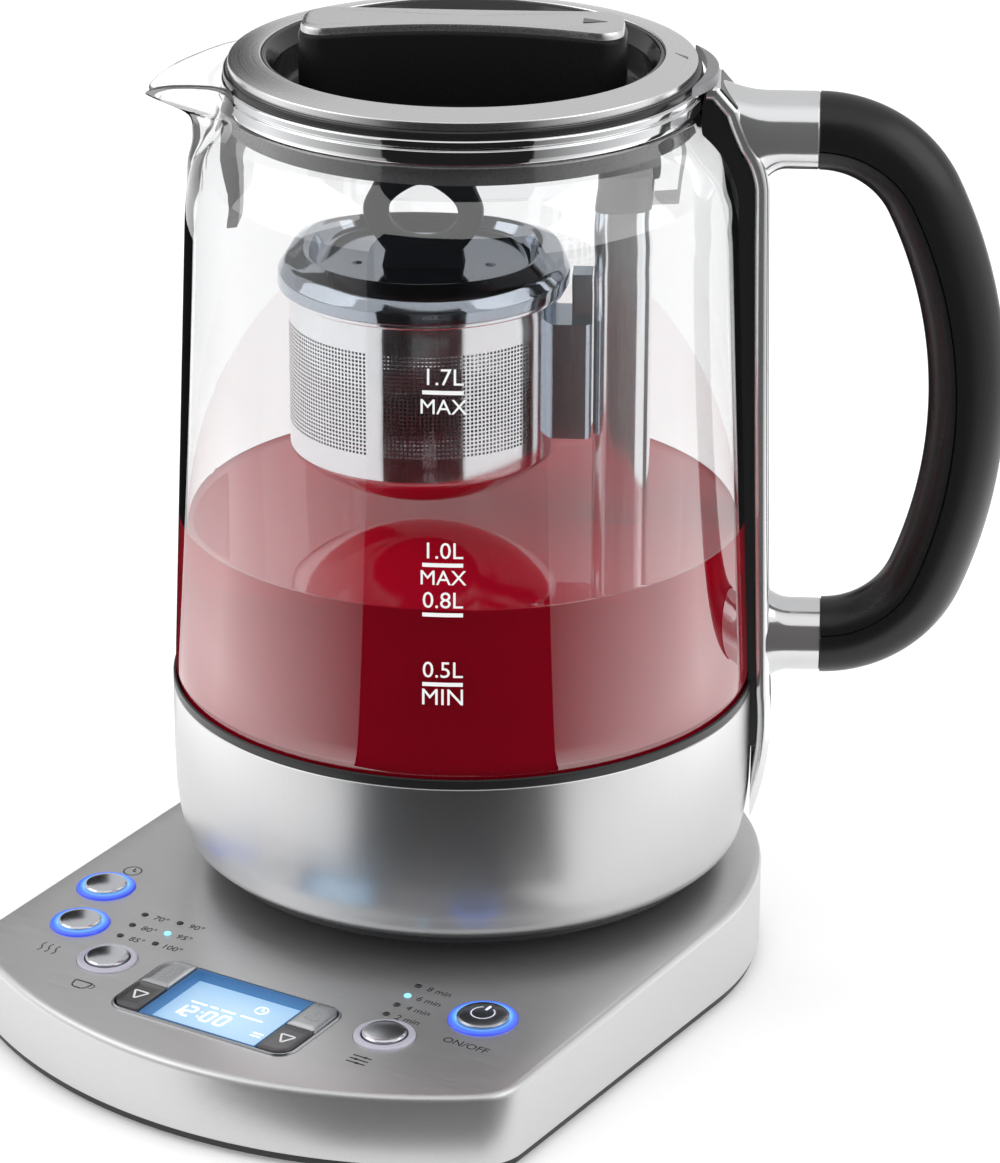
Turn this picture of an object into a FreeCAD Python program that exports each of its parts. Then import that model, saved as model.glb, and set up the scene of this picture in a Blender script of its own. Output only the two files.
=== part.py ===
# Automatic tea maker: a glass jug with a lifting tea basket on a cordless power base with a control panel.
#
# Millimetres, +Z up. The origin is on the table, under the axis of the jug. The base is square to the axes,
# with its control panel towards -Y. The jug is modelled with its handle along +X and its own zero height at
# the bottom of its foot, then turned by JUG_TURN and lifted onto the dock.

import FreeCAD, Part
import math
import os

V = FreeCAD.Vector
Rotation = FreeCAD.Rotation
Placement = FreeCAD.Placement
os.makedirs("parts", exist_ok=True)

# ---------------------------------------------------------------- driving dimensions: fits
RUN_GAP = 0.35            # clearance around anything that slides or turns
SNUG = 0.1                # clearance of a piece that is fixed in its seat
RISE = 0.2                # height kept free between a moving piece and what it stops against

# base
BASE_R = 81.3             # half width of the base, and radius of its round back
BASE_ARC_Y = -3.6         # centre of the round back, from the jug axis
BASE_FRONT_Y = 136.5      # jug axis to the middle of the bowed front edge
FRONT_BOW_R = 132.0       # radius of the bowed front edge
FRONT_CORNER_R = 14.0     # radius of the two front corners
FEET_H = 1.5              # rubber feet below the bottom cover
FOOT_PAD_R = 7.0          # radius of a foot
FOOT_SINK = 0.8           # its seat in the bottom cover
COVER_T = 2.0             # bottom cover floor
COVER_INSET = 0.8         # bottom cover stands back from the steel skirt
STEEL_T = 1.2             # steel of the base cover
PLATE_Z = 25.7            # top of the plate at the jug axis
PLATE_SLOPE = 1.6         # degrees, falls towards the front
PLATE_EDGE_R = 2.0        # rounding between plate and skirt
LIP_H = 5.0               # upstand of the bottom cover inside the skirt
LIP_T = 1.6               # and its wall
SCREW_POST_R = 4.0        # posts that take the screws
SCREW_HOLE_R = 1.5
SCREW_HEAD_R = 3.0
SCREW_HEAD_H = 1.1
SCREW_SLOT_W = 0.7
SCREW_REACH = 9.0         # length of a screw
BOARD_POST_R = 3.0        # posts under the boards and the dock
OUTLET_Z = 13.0           # cable outlet in the back of the skirt
OUTLET_R = 5.5
OUTLET_BORE_R = 3.4       # bore for the mains cord

# boards
BOARD_T = 1.6             # circuit boards
BOARD_DEPTH = 10.0        # control board below the plate
BOARD_EDGE = 4.8          # control board back from the outline of the base
BOARD_BACK = 2.0          # and from the flange of the dock
POWER_BOARD_X = 46.0      # half length of the power board
POWER_BOARD_D = 30.0      # its width
POWER_BOARD_Z = 9.0       # height of its underside
POWER_BOARD_INSET = 25.7  # its back edge from the back of the base
PART_H = 6.0              # height of the parts on it

# dock
DOCK_RISE = 3.9           # top of the dock above the plate at the jug axis
DOCK_R = 54.0             # raised black seat under the jug
DOCK_FLANGE_W = 4.0       # its flange under the plate
DOCK_FLANGE_DROP = 7.7    # underside of the flange below the plate
DOCK_T = 2.4              # wall of the seat
DOCK_WELL_R = 27.0        # sunken middle of the seat
DOCK_WELL_D = 6.0         # and its depth
PIN_R = 9.5               # central post of the connector
PIN_H = 9.0               # its height above the top of the seat
PIN_FLANGE_R = 20.0       # its flange in the well
CONTACT_T = 0.8           # contact rings round the post
CONTACT_W = 1.6
CONTACT_PIN_R = 2.0       # middle contact

# jug shell
BAND_R = 76.0             # steel band round the bottom
BAND_H = 44.1             # its height
BAND_T = 0.7              # its steel
BAND_CURL_H = 24.2        # height over which it narrows towards the foot
BAND_CURL_IN = 6.5        # and how much its radius loses there
FOOT_INSET = 8.2          # black foot ring back from the band
FOOT_H = 2.8              # visible height of the foot ring
FOOT_T = 2.0              # floor of the jug's bottom cover
SEAL_SHOW = 2.5           # black seal seen between band and glass
SEAL_LAP = 4.4            # depth of the seal inside the band
SEAL_WALL = 1.2           # seal between band and glass
SEAL_FLOOR = 1.1          # seal under the glass
SEAL_LEDGE = 1.9          # ledge of the seal under the heater plate
SEAL_LEDGE_H = 1.5        # and its height over the seal's lower edge
GLASS_T = 2.2             # glass wall
GLASS_BELL = 1.3          # swelling of the glass just above the seal
GLASS_TAPER = 5.2         # the glass narrows by this up to the shoulder
SHOULDER_IN = 9.8         # and by this over the shoulder
SHOULDER_BELLY = 2.1      # roundness of the shoulder
GLASS_TOP = 203.0         # rim under the collar
NECK_H = 6.0              # upright neck below the rim
SHOULDER_H = 22.0         # height of the shoulder
SPOUT_LEVELS = [          # height over the rim, reach beyond the neck, half width at the root, tip radius
    (-31.0, 3.6, 10.0, 6.0),
    (-19.0, 8.6, 17.0, 6.5),
    (-10.0, 7.8, 21.0, 7.0),
    (-4.0, 10.6, 26.0, 6.5),
    (-1.0, 19.1, 28.0, 5.0),
    (2.0, 23.6, 30.0, 5.0),
    (8.5, 34.6, 33.5, 5.0),
]
SPOUT_RIM = [             # rim of the spout from the side: reach beyond the neck, height over the glass rim
    (20.2, -1.0),
    (16.9, 2.3),
    (10.6, 5.9),
    (0.9, 7.6),
    (-10.4, 8.0),
]
SPOUT_ROOT_IN = 18.4      # the root widths are taken this far inside the neck

# heater
HEATER_T = 1.5
ELEMENT_TUBE_R = 3.3      # tube of the heating element
ELEMENT_OPEN = 30.0       # half of the opening in its ring, in degrees, where the motor hangs
THERMO_R = 11.0           # thermostat under the middle of the plate
THERMO_H = 9.0
PROBE_X = -26.0           # temperature probe through the plate
PROBE_R = 2.6
PROBE_H = 8.0
SOCKET_R = 19.7           # coupler in the bottom of the jug
SOCKET_H = 15.0
SOCKET_EDGE = 3.0         # step in its edge

# collar and lid
COLLAR_PROUD = 0.2        # chrome collar proud of the neck
COLLAR_H = 6.4            # its height
COLLAR_EDGE = 0.4         # its small chamfers
COLLAR_LIP = 0.8          # its rim over the skirt
SKIRT_GAP = 0.4           # grey skirt inside the neck
SKIRT_T = 3.0
SKIRT_DROP = 5.4          # the skirt below the glass rim
GUARD_DROP = 35.0         # tongue of the skirt behind the spout, below the glass rim
GUARD_W = 22.0            # its width at the top
GUARD_TIP_W = 6.0         # and at its tip
GUARD_T = 2.5
LID_INSET = 0.6           # dark flange of the lid back from the collar
LID_FLANGE_T = 2.0
LID_PLUG_H = 9.4          # plug of the lid inside the skirt
LID_PLUG_GAP = 1.6        # between plug and skirt, bridged by the gasket
LID_GASKET_T = 1.2
GASKET_DROP = 5.4         # lower edge of the gasket below the collar's top
GASKET_H = 3.0
GASKET_SEAT = 0.6         # depth of its groove
RING_INSET = 1.8          # silver ring of the lid back from the collar
RING_W = 8.3
RING_H_IN = 3.7           # its height over the flange at the inner edge
RING_H_OUT = 2.1          # and at the outer edge
DISH_MARGIN = 4.0         # dished recess of the lid inside the ring
DISH_DEPTH = 6.4          # below the collar's top
BAR_MARGIN = 5.5          # ends of the finger bar from the wall of the dish
BAR_END_W = 22.0
BAR_MID_W = 15.0
BAR_CORNER = 4.0
BAR_H = 18.6              # finger bar over the floor of the dish
BAR_WALL = 2.2
BAR_PLATE_T = 2.2
BAR_PLATE_INSET = 0.7
BAR_CROWN = 0.8

# handle
STRAP_W = 19.0            # chrome strap down the glass
STRAP_OFF_TOP = 1.8       # its outer face beyond the foot of the glass, near the top
STRAP_OFF_MID = 3.2       # and half way down
STRAP_OFF_BOT = 4.6       # its outer face beyond the steel band
STRAP_T = 3.7             # metal of the strap
STRAP_TAIL_Z = 11.0       # lower tip of the strap
TAB_REACH = 3.6           # grey tongue behind the lid, beyond the neck
TAB_R = 34.0              # radius of its rounded end
TAB_H = 2.9               # its thickness
INLAY_T = 0.8             # dark inlay on the slope of the bracket
SLEEVE_TOP_R = 9.8        # chrome sleeves that hold the grip
SLEEVE_BOT_R = 9.4
SLEEVE_WALL = 2.0
SLEEVE_TOP_DROP = 6.9     # axis of the upper sleeve below the glass rim
SLEEVE_BOT_Z = 59.7       # axis of the lower sleeve
SLEEVE_TOP_L = 12.3       # the grip begins this far beyond the strap
SLEEVE_BOT_L = 12.8
GRIP_R = 9.85             # half thickness of the grip
GRIP_TOP_BEND_R = 29.7    # bends of the grip
GRIP_BOT_BEND_R = 28.6
GRIP_TOP_TURN = 64.0      # degrees turned by the upper bend
GRIP_PART = 3.0           # parting line, inwards from the middle of the grip
CORE_R = 4.0              # steel core of the handle

# basket lift
POST_IN = 17.0            # centre of the post, inwards from the skirt
POST_W = 14.6             # across the handle plane's direction
POST_D = 16.0
POST_CORNER = 5.0
POST_T = 0.7
POST_DROP = 28.3          # top of the post below the glass rim
CAP_H = 11.7
CAP_WALL = 1.0
CAP_LAP = 4.0
CAP_ROOF = 2.0
CAP_LUG_H = 9.8           # lug on the cap
STAY_IN = 2.8             # outer face of the stay that ties the cap to the collar, inside the skirt
STAY_T = 0.9
STAY_W = 12.0
SCREW_R = 2.4             # lead screw in the post
SCREW_FLAT = 0.5
MAGNET_H = 22.0           # magnet carriage on the screw
MAGNET_T = 4.0            # magnet in the bracket of the basket
MAGNET_W = 12.0
MOTOR_R = 9.5
MOTOR_H = 17.0
MOTOR_FLANGE_T = 1.5

# basket
BASKET_TO_POST = 50.8     # centre of the basket from the centre of the post
BASKET_R = 34.5           # outside of its wall
BASKET_T = 0.7
BASKET_DROP = 48.2        # top of its rim below the rim of the glass
BASKET_H = 43.3           # rim to the lower edge of the wall
BASKET_DOME_H = 13.5      # depth of the domed bottom
BASKET_RIM_W = 2.1
MESH_RISE = 7.1           # etched strainer windows above the lower edge of the wall
MESH_H = 27.4
MESH_SINK = 0.15
MESH_PANELS = [(34.7, 103.0), (110.2, 176.4), (183.6, 249.8), (257.0, 325.3)]
BLID_OVER = 0.7           # basket lid beyond the rim
BLID_H = 8.6
BLID_DISH_R = 29.2
BLID_DISH_D = 4.8
BLID_T = 0.8
BLID_PLUG = 3.6           # depth of its skirt inside the basket
VENT_AT = 17.0
VENT_R = 1.3
KNOB_R = 15.2             # ring knob
KNOB_HOLE_R = 8.8
KNOB_T = 6.0
KNOB_UP = 18.2            # centre of the knob over the rim of the basket
KNOB_FOOT_W = 21.0
KNOB_FOOT_H = 4.4
BRACKET_RISE = 4.1        # bracket towards the post, above the lower edge of the wall
BRACKET_H = 30.7
BRACKET_W = 17.0

# control panel
KEY_TRAVEL = 0.8
BUTTON_TRAVEL = 1.0
SIDE_BUTTONS = {          # name: side, inset from that side, inset from the front, radius of its cap
    "auto_start_button": (-1, 14.0, 67.5, 5.6),
    "keep_warm_button": (-1, 20.3, 47.7, 5.6),
    "power_button": (1, 25.3, 57.5, 6.6),
}
DISPLAY_BUTTONS = {       # name: side, distance from that end of the display and behind its middle, radius
    "tea_button": (-1, 13.5, 5.8, 5.6),
    "custom_button": (1, 14.1, 8.6, 5.6),
}
RING_LIGHT_W = 2.2        # width of the light ring round a button
RING_DEEP = 3.2
RING_PROUD = 0.7
BUTTON_PROUD = 1.9        # cap above the plate
BUTTON_FLANGE = 1.2
STEM_R = 2.0
MODULE_X = -2.0           # display module: centre, size and corners
MODULE_INSET = 29.3
MODULE_W = 55.0
MODULE_D = 28.0
MODULE_CORNER = 5.0
LCD_W = 34.0
LCD_D = 26.4
LCD_SINK = 2.6            # the lit panel lies this far below the plate
BEZEL_T = 0.8
BEZEL_WALL = 0.7
BEZEL_DEEP = 3.0
BEZEL_PROUD = 0.5
KEY_GAP = 0.35
KEY_PROUD = 0.9
KEY_MARK = 1.7            # half width of the triangle on a key
KEY_STEM_R = 1.5
FLANGE_T = 1.2
LED_R = 0.9
LED_LEFT = [              # inset from the left side, inset from the front
    (32.1, 59.9), (32.7, 53.6), (33.4, 47.3), (42.7, 60.7), (43.2, 54.5), (43.8, 48.3),
]
LED_RIGHT = [(48.4, 63.6), (48.0, 58.1), (47.7, 52.7), (47.4, 47.4)]
SWITCH_H = 3.0            # switches on the control board under the controls
SWITCH_HALF = 3.0
PLUNGER_H = 0.8
PLUNGER_R = 1.4

# ---------------------------------------------------------------- sizes that follow
JUG_Z = PLATE_Z + DOCK_RISE
DOCK_FLANGE_R = DOCK_R + DOCK_FLANGE_W
DOCK_FLANGE_Z = PLATE_Z - DOCK_FLANGE_DROP
BAND_TOP = FOOT_H + BAND_H
FOOT_R = BAND_R - FOOT_INSET
SEAL_TOP = BAND_TOP + SEAL_SHOW
SEAL_BOT = BAND_TOP - SEAL_LAP
HEATER_Z = SEAL_BOT + SEAL_LEDGE_H
GLASS_FOOT_R = BAND_R - BAND_T - SEAL_WALL
GLASS_BOT_R = GLASS_FOOT_R + GLASS_BELL
GLASS_SHOULDER_R = GLASS_BOT_R - GLASS_TAPER
NECK_R = GLASS_SHOULDER_R - SHOULDER_IN
NECK_Z = GLASS_TOP - NECK_H
GLASS_SHOULDER_Z = NECK_Z - SHOULDER_H
COLLAR_R = NECK_R + COLLAR_PROUD
COLLAR_TOP = GLASS_TOP + COLLAR_H
SKIRT_R = NECK_R - GLASS_T - SKIRT_GAP
SKIRT_BOT = GLASS_TOP - SKIRT_DROP
LID_R = COLLAR_R - LID_INSET
LID_PLUG_R = SKIRT_R - SKIRT_T - LID_PLUG_GAP
RING_OUT_R = COLLAR_R - RING_INSET
RING_IN_R = RING_OUT_R - RING_W
DISH_R = RING_IN_R - DISH_MARGIN
DISH_FLOOR = COLLAR_TOP - DISH_DEPTH
BAR_L = 2 * (DISH_R - BAR_MARGIN)
BAR_TOP = DISH_FLOOR + BAR_H
STRAP_OUT_TOP = GLASS_BOT_R + STRAP_OFF_TOP
STRAP_OUT_MID = GLASS_BOT_R + STRAP_OFF_MID
STRAP_OUT_BOT = BAND_R + STRAP_OFF_BOT
SLEEVE_TOP_Z = GLASS_TOP - SLEEVE_TOP_DROP
SLEEVE_TOP_END = STRAP_OUT_TOP + SLEEVE_TOP_L
SLEEVE_BOT_END = STRAP_OUT_BOT + SLEEVE_BOT_L
POST_X = SKIRT_R - POST_IN
POST_TOP = GLASS_TOP - POST_DROP
CAP_TOP = POST_TOP + CAP_H
BASKET_X = POST_X - BASKET_TO_POST
BASKET_TOP = GLASS_TOP - BASKET_DROP
BASKET_BOT = BASKET_TOP - BASKET_H
BASKET_DOME_Z = BASKET_BOT - BASKET_DOME_H
BASKET_RIM_R = BASKET_R + BASKET_RIM_W
BLID_R = BASKET_RIM_R + BLID_OVER
BLID_TOP = BASKET_TOP + BLID_H
BLID_DISH_Z = BLID_TOP - BLID_DISH_D
KNOB_Z = BASKET_TOP + KNOB_UP
BRACKET_BOT = BASKET_BOT + BRACKET_RISE
BRACKET_TOP = BRACKET_BOT + BRACKET_H
MODULE_Y = MODULE_INSET - BASE_FRONT_Y


def from_edges(side, side_inset, front_inset):
    """Place on the panel from its insets: x, y."""
    return side * (BASE_R - side_inset), front_inset - BASE_FRONT_Y


CONTROLS = {}             # name: x, y, radius of the cap
for name, (side, side_inset, front_inset, r) in SIDE_BUTTONS.items():
    CONTROLS[name] = from_edges(side, side_inset, front_inset) + (r,)
for name, (side, beside, behind, r) in DISPLAY_BUTTONS.items():
    CONTROLS[name] = (MODULE_X + side * (MODULE_W / 2 + beside), MODULE_Y + behind, r)
LAMPS = [from_edges(-1, *spot) for spot in LED_LEFT] + [from_edges(1, *spot) for spot in LED_RIGHT]


# ---------------------------------------------------------------- helpers
def path_xz(points):
    """Closed wire in the XZ plane. Item (x, z) is a straight run, ((mx, mz), (x, z)) an arc through m."""
    edges = []
    at = V(points[0][0], 0, points[0][1])
    for item in list(points[1:]) + [points[0]]:
        if isinstance(item[0], tuple):
            mid = V(item[0][0], 0, item[0][1])
            to = V(item[1][0], 0, item[1][1])
            edges.append(Part.Arc(at, mid, to).toShape())
        else:
            to = V(item[0], 0, item[1])
            if (to - at).Length > 1e-6:
                edges.append(Part.LineSegment(at, to).toShape())
        at = to
    return Part.Wire(edges)


def open_path(points):
    """The same run of lines and arcs, left open."""
    edges = []
    at = V(points[0][0], 0, points[0][1])
    for item in points[1:]:
        if isinstance(item[0], tuple):
            to = V(item[1][0], 0, item[1][1])
            edges.append(Part.Arc(at, V(item[0][0], 0, item[0][1]), to).toShape())
        else:
            to = V(item[0], 0, item[1])
            edges.append(Part.LineSegment(at, to).toShape())
        at = to
    return Part.Wire(edges)


def lathe(points, x=0.0, y=0.0):
    """Solid of revolution of a closed (radius, height) path about the vertical line at x, y."""
    solid = Part.Face(path_xz(points)).revolve(V(0, 0, 0), V(0, 0, 1), 360)
    solid.translate(V(x, y, 0))
    return solid


def slab(points, width):
    """Closed XZ path made into a plate of the given width, centred on y = 0."""
    solid = Part.Face(path_xz(points)).extrude(V(0, width, 0))
    solid.translate(V(0, -width / 2, 0))
    return solid


def cyl(r, z0, z1, x=0.0, y=0.0):
    return Part.makeCylinder(r, z1 - z0, V(x, y, z0))


def tube(r_out, r_in, z0, z1, x=0.0, y=0.0):
    return cyl(r_out, z0, z1, x, y).cut(cyl(r_in, z0 - 1, z1 + 1, x, y))


def box(x0, x1, y0, y1, z0, z1):
    return Part.makeBox(x1 - x0, y1 - y0, z1 - z0, V(x0, y0, z0))


def rounded_box(cx, cy, w, d, corner, z0, z1):
    """Upright block of w by d with rounded vertical corners."""
    r = min(corner, w / 2 - 0.05, d / 2 - 0.05)
    solid = box(cx - w / 2, cx + w / 2, cy - d / 2, cy + d / 2, z0, z1)
    upright = [e for e in solid.Edges if abs(e.tangentAt(e.FirstParameter).z) > 0.9]
    return solid.makeFillet(r, upright)


def polar(r, degrees):
    return r * math.cos(math.radians(degrees)), r * math.sin(math.radians(degrees))


def joined(shapes):
    """One shape from pieces that meet, without inner faces."""
    first, rest = shapes[0], shapes[1:]
    return first.multiFuse(rest).removeSplitter() if rest else first


def save(name, shape, place=None):
    shape = shape.copy()
    if place is not None:
        shape.Placement = place.multiply(shape.Placement)
    solids = shape.Solids
    out = solids[0] if len(solids) == 1 else Part.makeCompound(solids)
    if not out.isValid():
        print("NOT VALID", name)
    out.exportStep("parts/" + name + ".step")
    print(name, len(solids), round(sum(s.Volume for s in solids), 1))


# ---------------------------------------------------------------- places
JUG_TURN = 28.5           # degrees from +X to the handle, as the jug stands on the dock
JUG = Placement(V(0, 0, JUG_Z), Rotation(V(0, 0, 1), JUG_TURN))
SLOPE_TAN = math.tan(math.radians(PLATE_SLOPE))


def plate_z(y):
    return PLATE_Z + SLOPE_TAN * y


def on_plate(x, y):
    """Local frame of a control: its origin on the plate at x, y, its +Z along the plate's normal."""
    return Placement(V(x, y, plate_z(y)), Rotation(V(1, 0, 0), PLATE_SLOPE))


# ---------------------------------------------------------------- base: shells
def base_outline(inset, z):
    """Outline of the base: a round back, straight sides, small front corners and a bowed front."""
    r = BASE_R - inset
    corner = FRONT_CORNER_R - inset
    bow = FRONT_BOW_R - inset
    bow_y = FRONT_BOW_R - BASE_FRONT_Y
    cx = r - corner
    cy = bow_y - math.sqrt((bow - corner) ** 2 - cx ** 2)
    turn = math.atan2(cy - bow_y, cx)
    mid_turn = turn / 2
    side = V(r, cy, z)
    corner_mid = V(cx + corner * math.cos(mid_turn), cy + corner * math.sin(mid_turn), z)
    corner_end = V(bow * math.cos(turn), bow_y + bow * math.sin(turn), z)
    front = V(0, bow_y - bow, z)

    def other(p):
        return V(-p.x, p.y, p.z)

    back = V(r, BASE_ARC_Y, z)
    return Part.Wire([
        Part.Arc(back, V(0, BASE_ARC_Y + r, z), other(back)).toShape(),
        Part.LineSegment(other(back), other(side)).toShape(),
        Part.Arc(other(side), other(corner_mid), other(corner_end)).toShape(),
        Part.Arc(other(corner_end), front, corner_end).toShape(),
        Part.Arc(corner_end, corner_mid, side).toShape(),
        Part.LineSegment(side, back).toShape(),
    ])


def base_block(inset, z0, z1):
    return Part.Face(base_outline(inset, z0)).extrude(V(0, 0, z1 - z0))


def above_plate(drop):
    """Everything higher than the plate, lowered by drop along its normal."""
    far = 5 * BASE_R
    block = Part.makeBox(far, far, far, V(-far / 2, -far / 2, 0))
    lowered = PLATE_Z - drop / math.cos(math.radians(PLATE_SLOPE))
    block.Placement = Placement(V(0, 0, lowered), Rotation(V(1, 0, 0), PLATE_SLOPE))
    return block


SKIRT_BOTTOM = FEET_H + COVER_T
HIGH = PLATE_Z + 20.0

# cut-outs that the panel pieces need, in the plate's own frame
bezel_cut = rounded_box(0, 0, MODULE_W + 2 * SNUG, MODULE_D + 2 * SNUG, MODULE_CORNER + SNUG, -30, 30)


def base_cuts():
    cuts = [cyl(DOCK_R + SNUG, 0, HIGH)]
    for x, y, r in CONTROLS.values():
        hole = cyl(r + RING_LIGHT_W + SNUG, -10, 10)
        hole.Placement = on_plate(x, y)
        cuts.append(hole)
    for x, y in LAMPS:
        hole = cyl(LED_R + SNUG, -10, 10)
        hole.Placement = on_plate(x, y)
        cuts.append(hole)
    window = bezel_cut.copy()
    window.Placement = on_plate(MODULE_X, MODULE_Y)
    cuts.append(window)
    return cuts


outer = base_block(0, SKIRT_BOTTOM, HIGH).cut(above_plate(0))
rim = [e for e in outer.Edges if all(abs(v.Point.z - plate_z(v.Point.y)) < 0.01 for v in e.Vertexes)]
outer = outer.makeFillet(PLATE_EDGE_R, rim)
back_y = BASE_ARC_Y + BASE_R
inner = base_block(STEEL_T, SKIRT_BOTTOM - 5, HIGH).cut(above_plate(STEEL_T))
outlet_hole = Part.makeCylinder(OUTLET_R + SNUG, 20, V(0, back_y - 10, OUTLET_Z), V(0, 1, 0))
base_top_cover = outer.cut(inner)
for tool in base_cuts() + [outlet_hole]:
    base_top_cover = base_top_cover.cut(tool)
save("base_top_cover", base_top_cover)

# bottom cover: floor, upstand inside the skirt, posts for screws and boards
SCREW_POSTS = [
    from_edges(-1, 19.3, 91.5), from_edges(1, 19.3, 91.5), (-30.0, back_y - 13.7), (30.0, back_y - 13.7),
    (0.0, 10.5 - BASE_FRONT_Y),
]
FEET = [
    from_edges(-1, 21.3, 36.5), from_edges(1, 21.3, 36.5), (15.3 - BASE_R, 5.0), (BASE_R - 15.3, 5.0),
    (0.0, back_y - 9.7), (0.0, 0.0),
]
power_board_y = (back_y - POWER_BOARD_INSET - POWER_BOARD_D, back_y - POWER_BOARD_INSET)
POWER_POSTS = []
for side in (-1, 1):
    for y in (power_board_y[0] + 5.0, power_board_y[1] - 5.0):
        POWER_POSTS.append((side * (POWER_BOARD_X - 5.0), y))
DOCK_POST_TURNS = (10.0, 170.0, 225.0, 315.0)
dock_post_at = (DOCK_R + DOCK_FLANGE_R) / 2 - 1.0
CONTROL_POSTS = [
    from_edges(-1, 27.3, 70.5), from_edges(1, 27.3, 70.5),
    from_edges(-1, 47.3, 20.5), from_edges(1, 47.3, 20.5),
]


def under_plate(x, y, gap):
    """Height of the underside of the steel at a place, less a gap."""
    return plate_z(y) - STEEL_T / math.cos(math.radians(PLATE_SLOPE)) - gap


floor = base_block(COVER_INSET, FEET_H, SKIRT_BOTTOM)
lip_out = STEEL_T + SNUG
lip = base_block(lip_out, SKIRT_BOTTOM, SKIRT_BOTTOM + LIP_H)
lip = lip.cut(base_block(lip_out + LIP_T, SKIRT_BOTTOM - 1, SKIRT_BOTTOM + LIP_H + 1))
cover_parts = [floor, lip]
for x, y in SCREW_POSTS:
    top = under_plate(x, y, 0.6)
    cover_parts.append(cyl(SCREW_POST_R, SKIRT_BOTTOM, top, x, y))
for x, y in POWER_POSTS:
    cover_parts.append(cyl(BOARD_POST_R, SKIRT_BOTTOM, POWER_BOARD_Z, x, y))
for turn in DOCK_POST_TURNS:
    x, y = polar(dock_post_at, turn)
    cover_parts.append(cyl(BOARD_POST_R, SKIRT_BOTTOM, DOCK_FLANGE_Z, x, y))
under_board = above_plate(BOARD_DEPTH + BOARD_T)
for x, y in CONTROL_POSTS:
    cover_parts.append(cyl(BOARD_POST_R, SKIRT_BOTTOM, PLATE_Z, x, y).cut(under_board))
base_bottom_cover = joined(cover_parts)
for x, y in SCREW_POSTS:
    base_bottom_cover = base_bottom_cover.cut(cyl(SCREW_HOLE_R, FEET_H - 1, under_plate(x, y, 2.0), x, y))
    sink = cyl(SCREW_HEAD_R + 2 * SNUG, FEET_H - 1, FEET_H + SCREW_HEAD_H + SNUG, x, y)
    base_bottom_cover = base_bottom_cover.cut(sink)
for x, y in FEET:
    base_bottom_cover = base_bottom_cover.cut(cyl(FOOT_PAD_R + SNUG, FEET_H - 1, FEET_H + FOOT_SINK, x, y))
base_bottom_cover = base_bottom_cover.cut(outlet_hole)
save("base_bottom_cover", base_bottom_cover)

feet = []
for x, y in FEET:
    pad = cyl(FOOT_PAD_R, 0, FEET_H + FOOT_SINK, x, y)
    feet.append(pad.makeFillet(0.6, [e for e in pad.Edges if e.BoundBox.ZMax < 0.01]))
save("base_feet", Part.makeCompound(feet))

screws = []
for x, y in SCREW_POSTS:
    head = cyl(SCREW_HEAD_R, FEET_H + SNUG, FEET_H + SNUG + SCREW_HEAD_H, x, y)
    slot_l = SCREW_HEAD_R - 0.8
    slot_w = SCREW_SLOT_W / 2
    head = head.cut(box(x - slot_l, x + slot_l, y - slot_w, y + slot_w, FEET_H, FEET_H + 0.6))
    head = head.cut(box(x - slot_w, x + slot_w, y - slot_l, y + slot_l, FEET_H, FEET_H + 0.6))
    shank = cyl(SCREW_HOLE_R, FEET_H + SNUG + SCREW_HEAD_H, FEET_H + SCREW_REACH, x, y)
    screws.append(joined([head, shank]))
save("base_screws", Part.makeCompound(screws))

# cable outlet in the back: a bush with a flange inside the skirt
bush = Part.makeCylinder(OUTLET_R, 8.0, V(0, back_y - 7.0, OUTLET_Z), V(0, 1, 0))
flange = Part.makeCylinder(OUTLET_R + 2.0, 1.6, V(0, back_y - 7.0, OUTLET_Z), V(0, 1, 0))
bore = Part.makeCylinder(OUTLET_BORE_R, 20.0, V(0, back_y - 10.0, OUTLET_Z), V(0, 1, 0))
save("cable_outlet", joined([bush, flange]).cut(bore))


# ---------------------------------------------------------------- base: dock and boards
dock_top = JUG_Z
well_floor = dock_top - DOCK_WELL_D
dock_seat = lathe([
    (0, well_floor - DOCK_T), (DOCK_WELL_R + DOCK_T, well_floor - DOCK_T),
    (DOCK_WELL_R + DOCK_T, dock_top - DOCK_T), (DOCK_R - DOCK_T, dock_top - DOCK_T),
    (DOCK_R - DOCK_T, DOCK_FLANGE_Z), (DOCK_FLANGE_R, DOCK_FLANGE_Z),
    (DOCK_FLANGE_R, DOCK_FLANGE_Z + DOCK_T), (DOCK_R, DOCK_FLANGE_Z + DOCK_T), (DOCK_R, dock_top - 0.8),
    (DOCK_R - 0.8, dock_top), (DOCK_WELL_R, dock_top), (DOCK_WELL_R, well_floor), (0, well_floor),
])
save("dock_seat", dock_seat)

pin_top = dock_top + PIN_H
dock_connector = joined([
    cyl(PIN_FLANGE_R, well_floor, well_floor + 2.0),
    cyl(PIN_R, well_floor, pin_top - 1.0),
    Part.makeCone(PIN_R, PIN_R - 1.0, 1.0, V(0, 0, pin_top - 1.0)),
])
CONTACT_LEVELS = (dock_top + PIN_H / 6, dock_top + PIN_H * 5 / 9)
contact_cut_r = PIN_R - CONTACT_T
for z in CONTACT_LEVELS:
    dock_connector = dock_connector.cut(tube(PIN_R + 1, contact_cut_r, z, z + CONTACT_W))
dock_connector = dock_connector.cut(cyl(CONTACT_PIN_R, pin_top - 4.0, pin_top + 1))
save("dock_connector", dock_connector)
contacts = [tube(PIN_R, contact_cut_r, z, z + CONTACT_W) for z in CONTACT_LEVELS]
contacts.append(cyl(CONTACT_PIN_R, pin_top - 4.0, pin_top - 0.6))
save("dock_contacts", Part.makeCompound(contacts))

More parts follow.
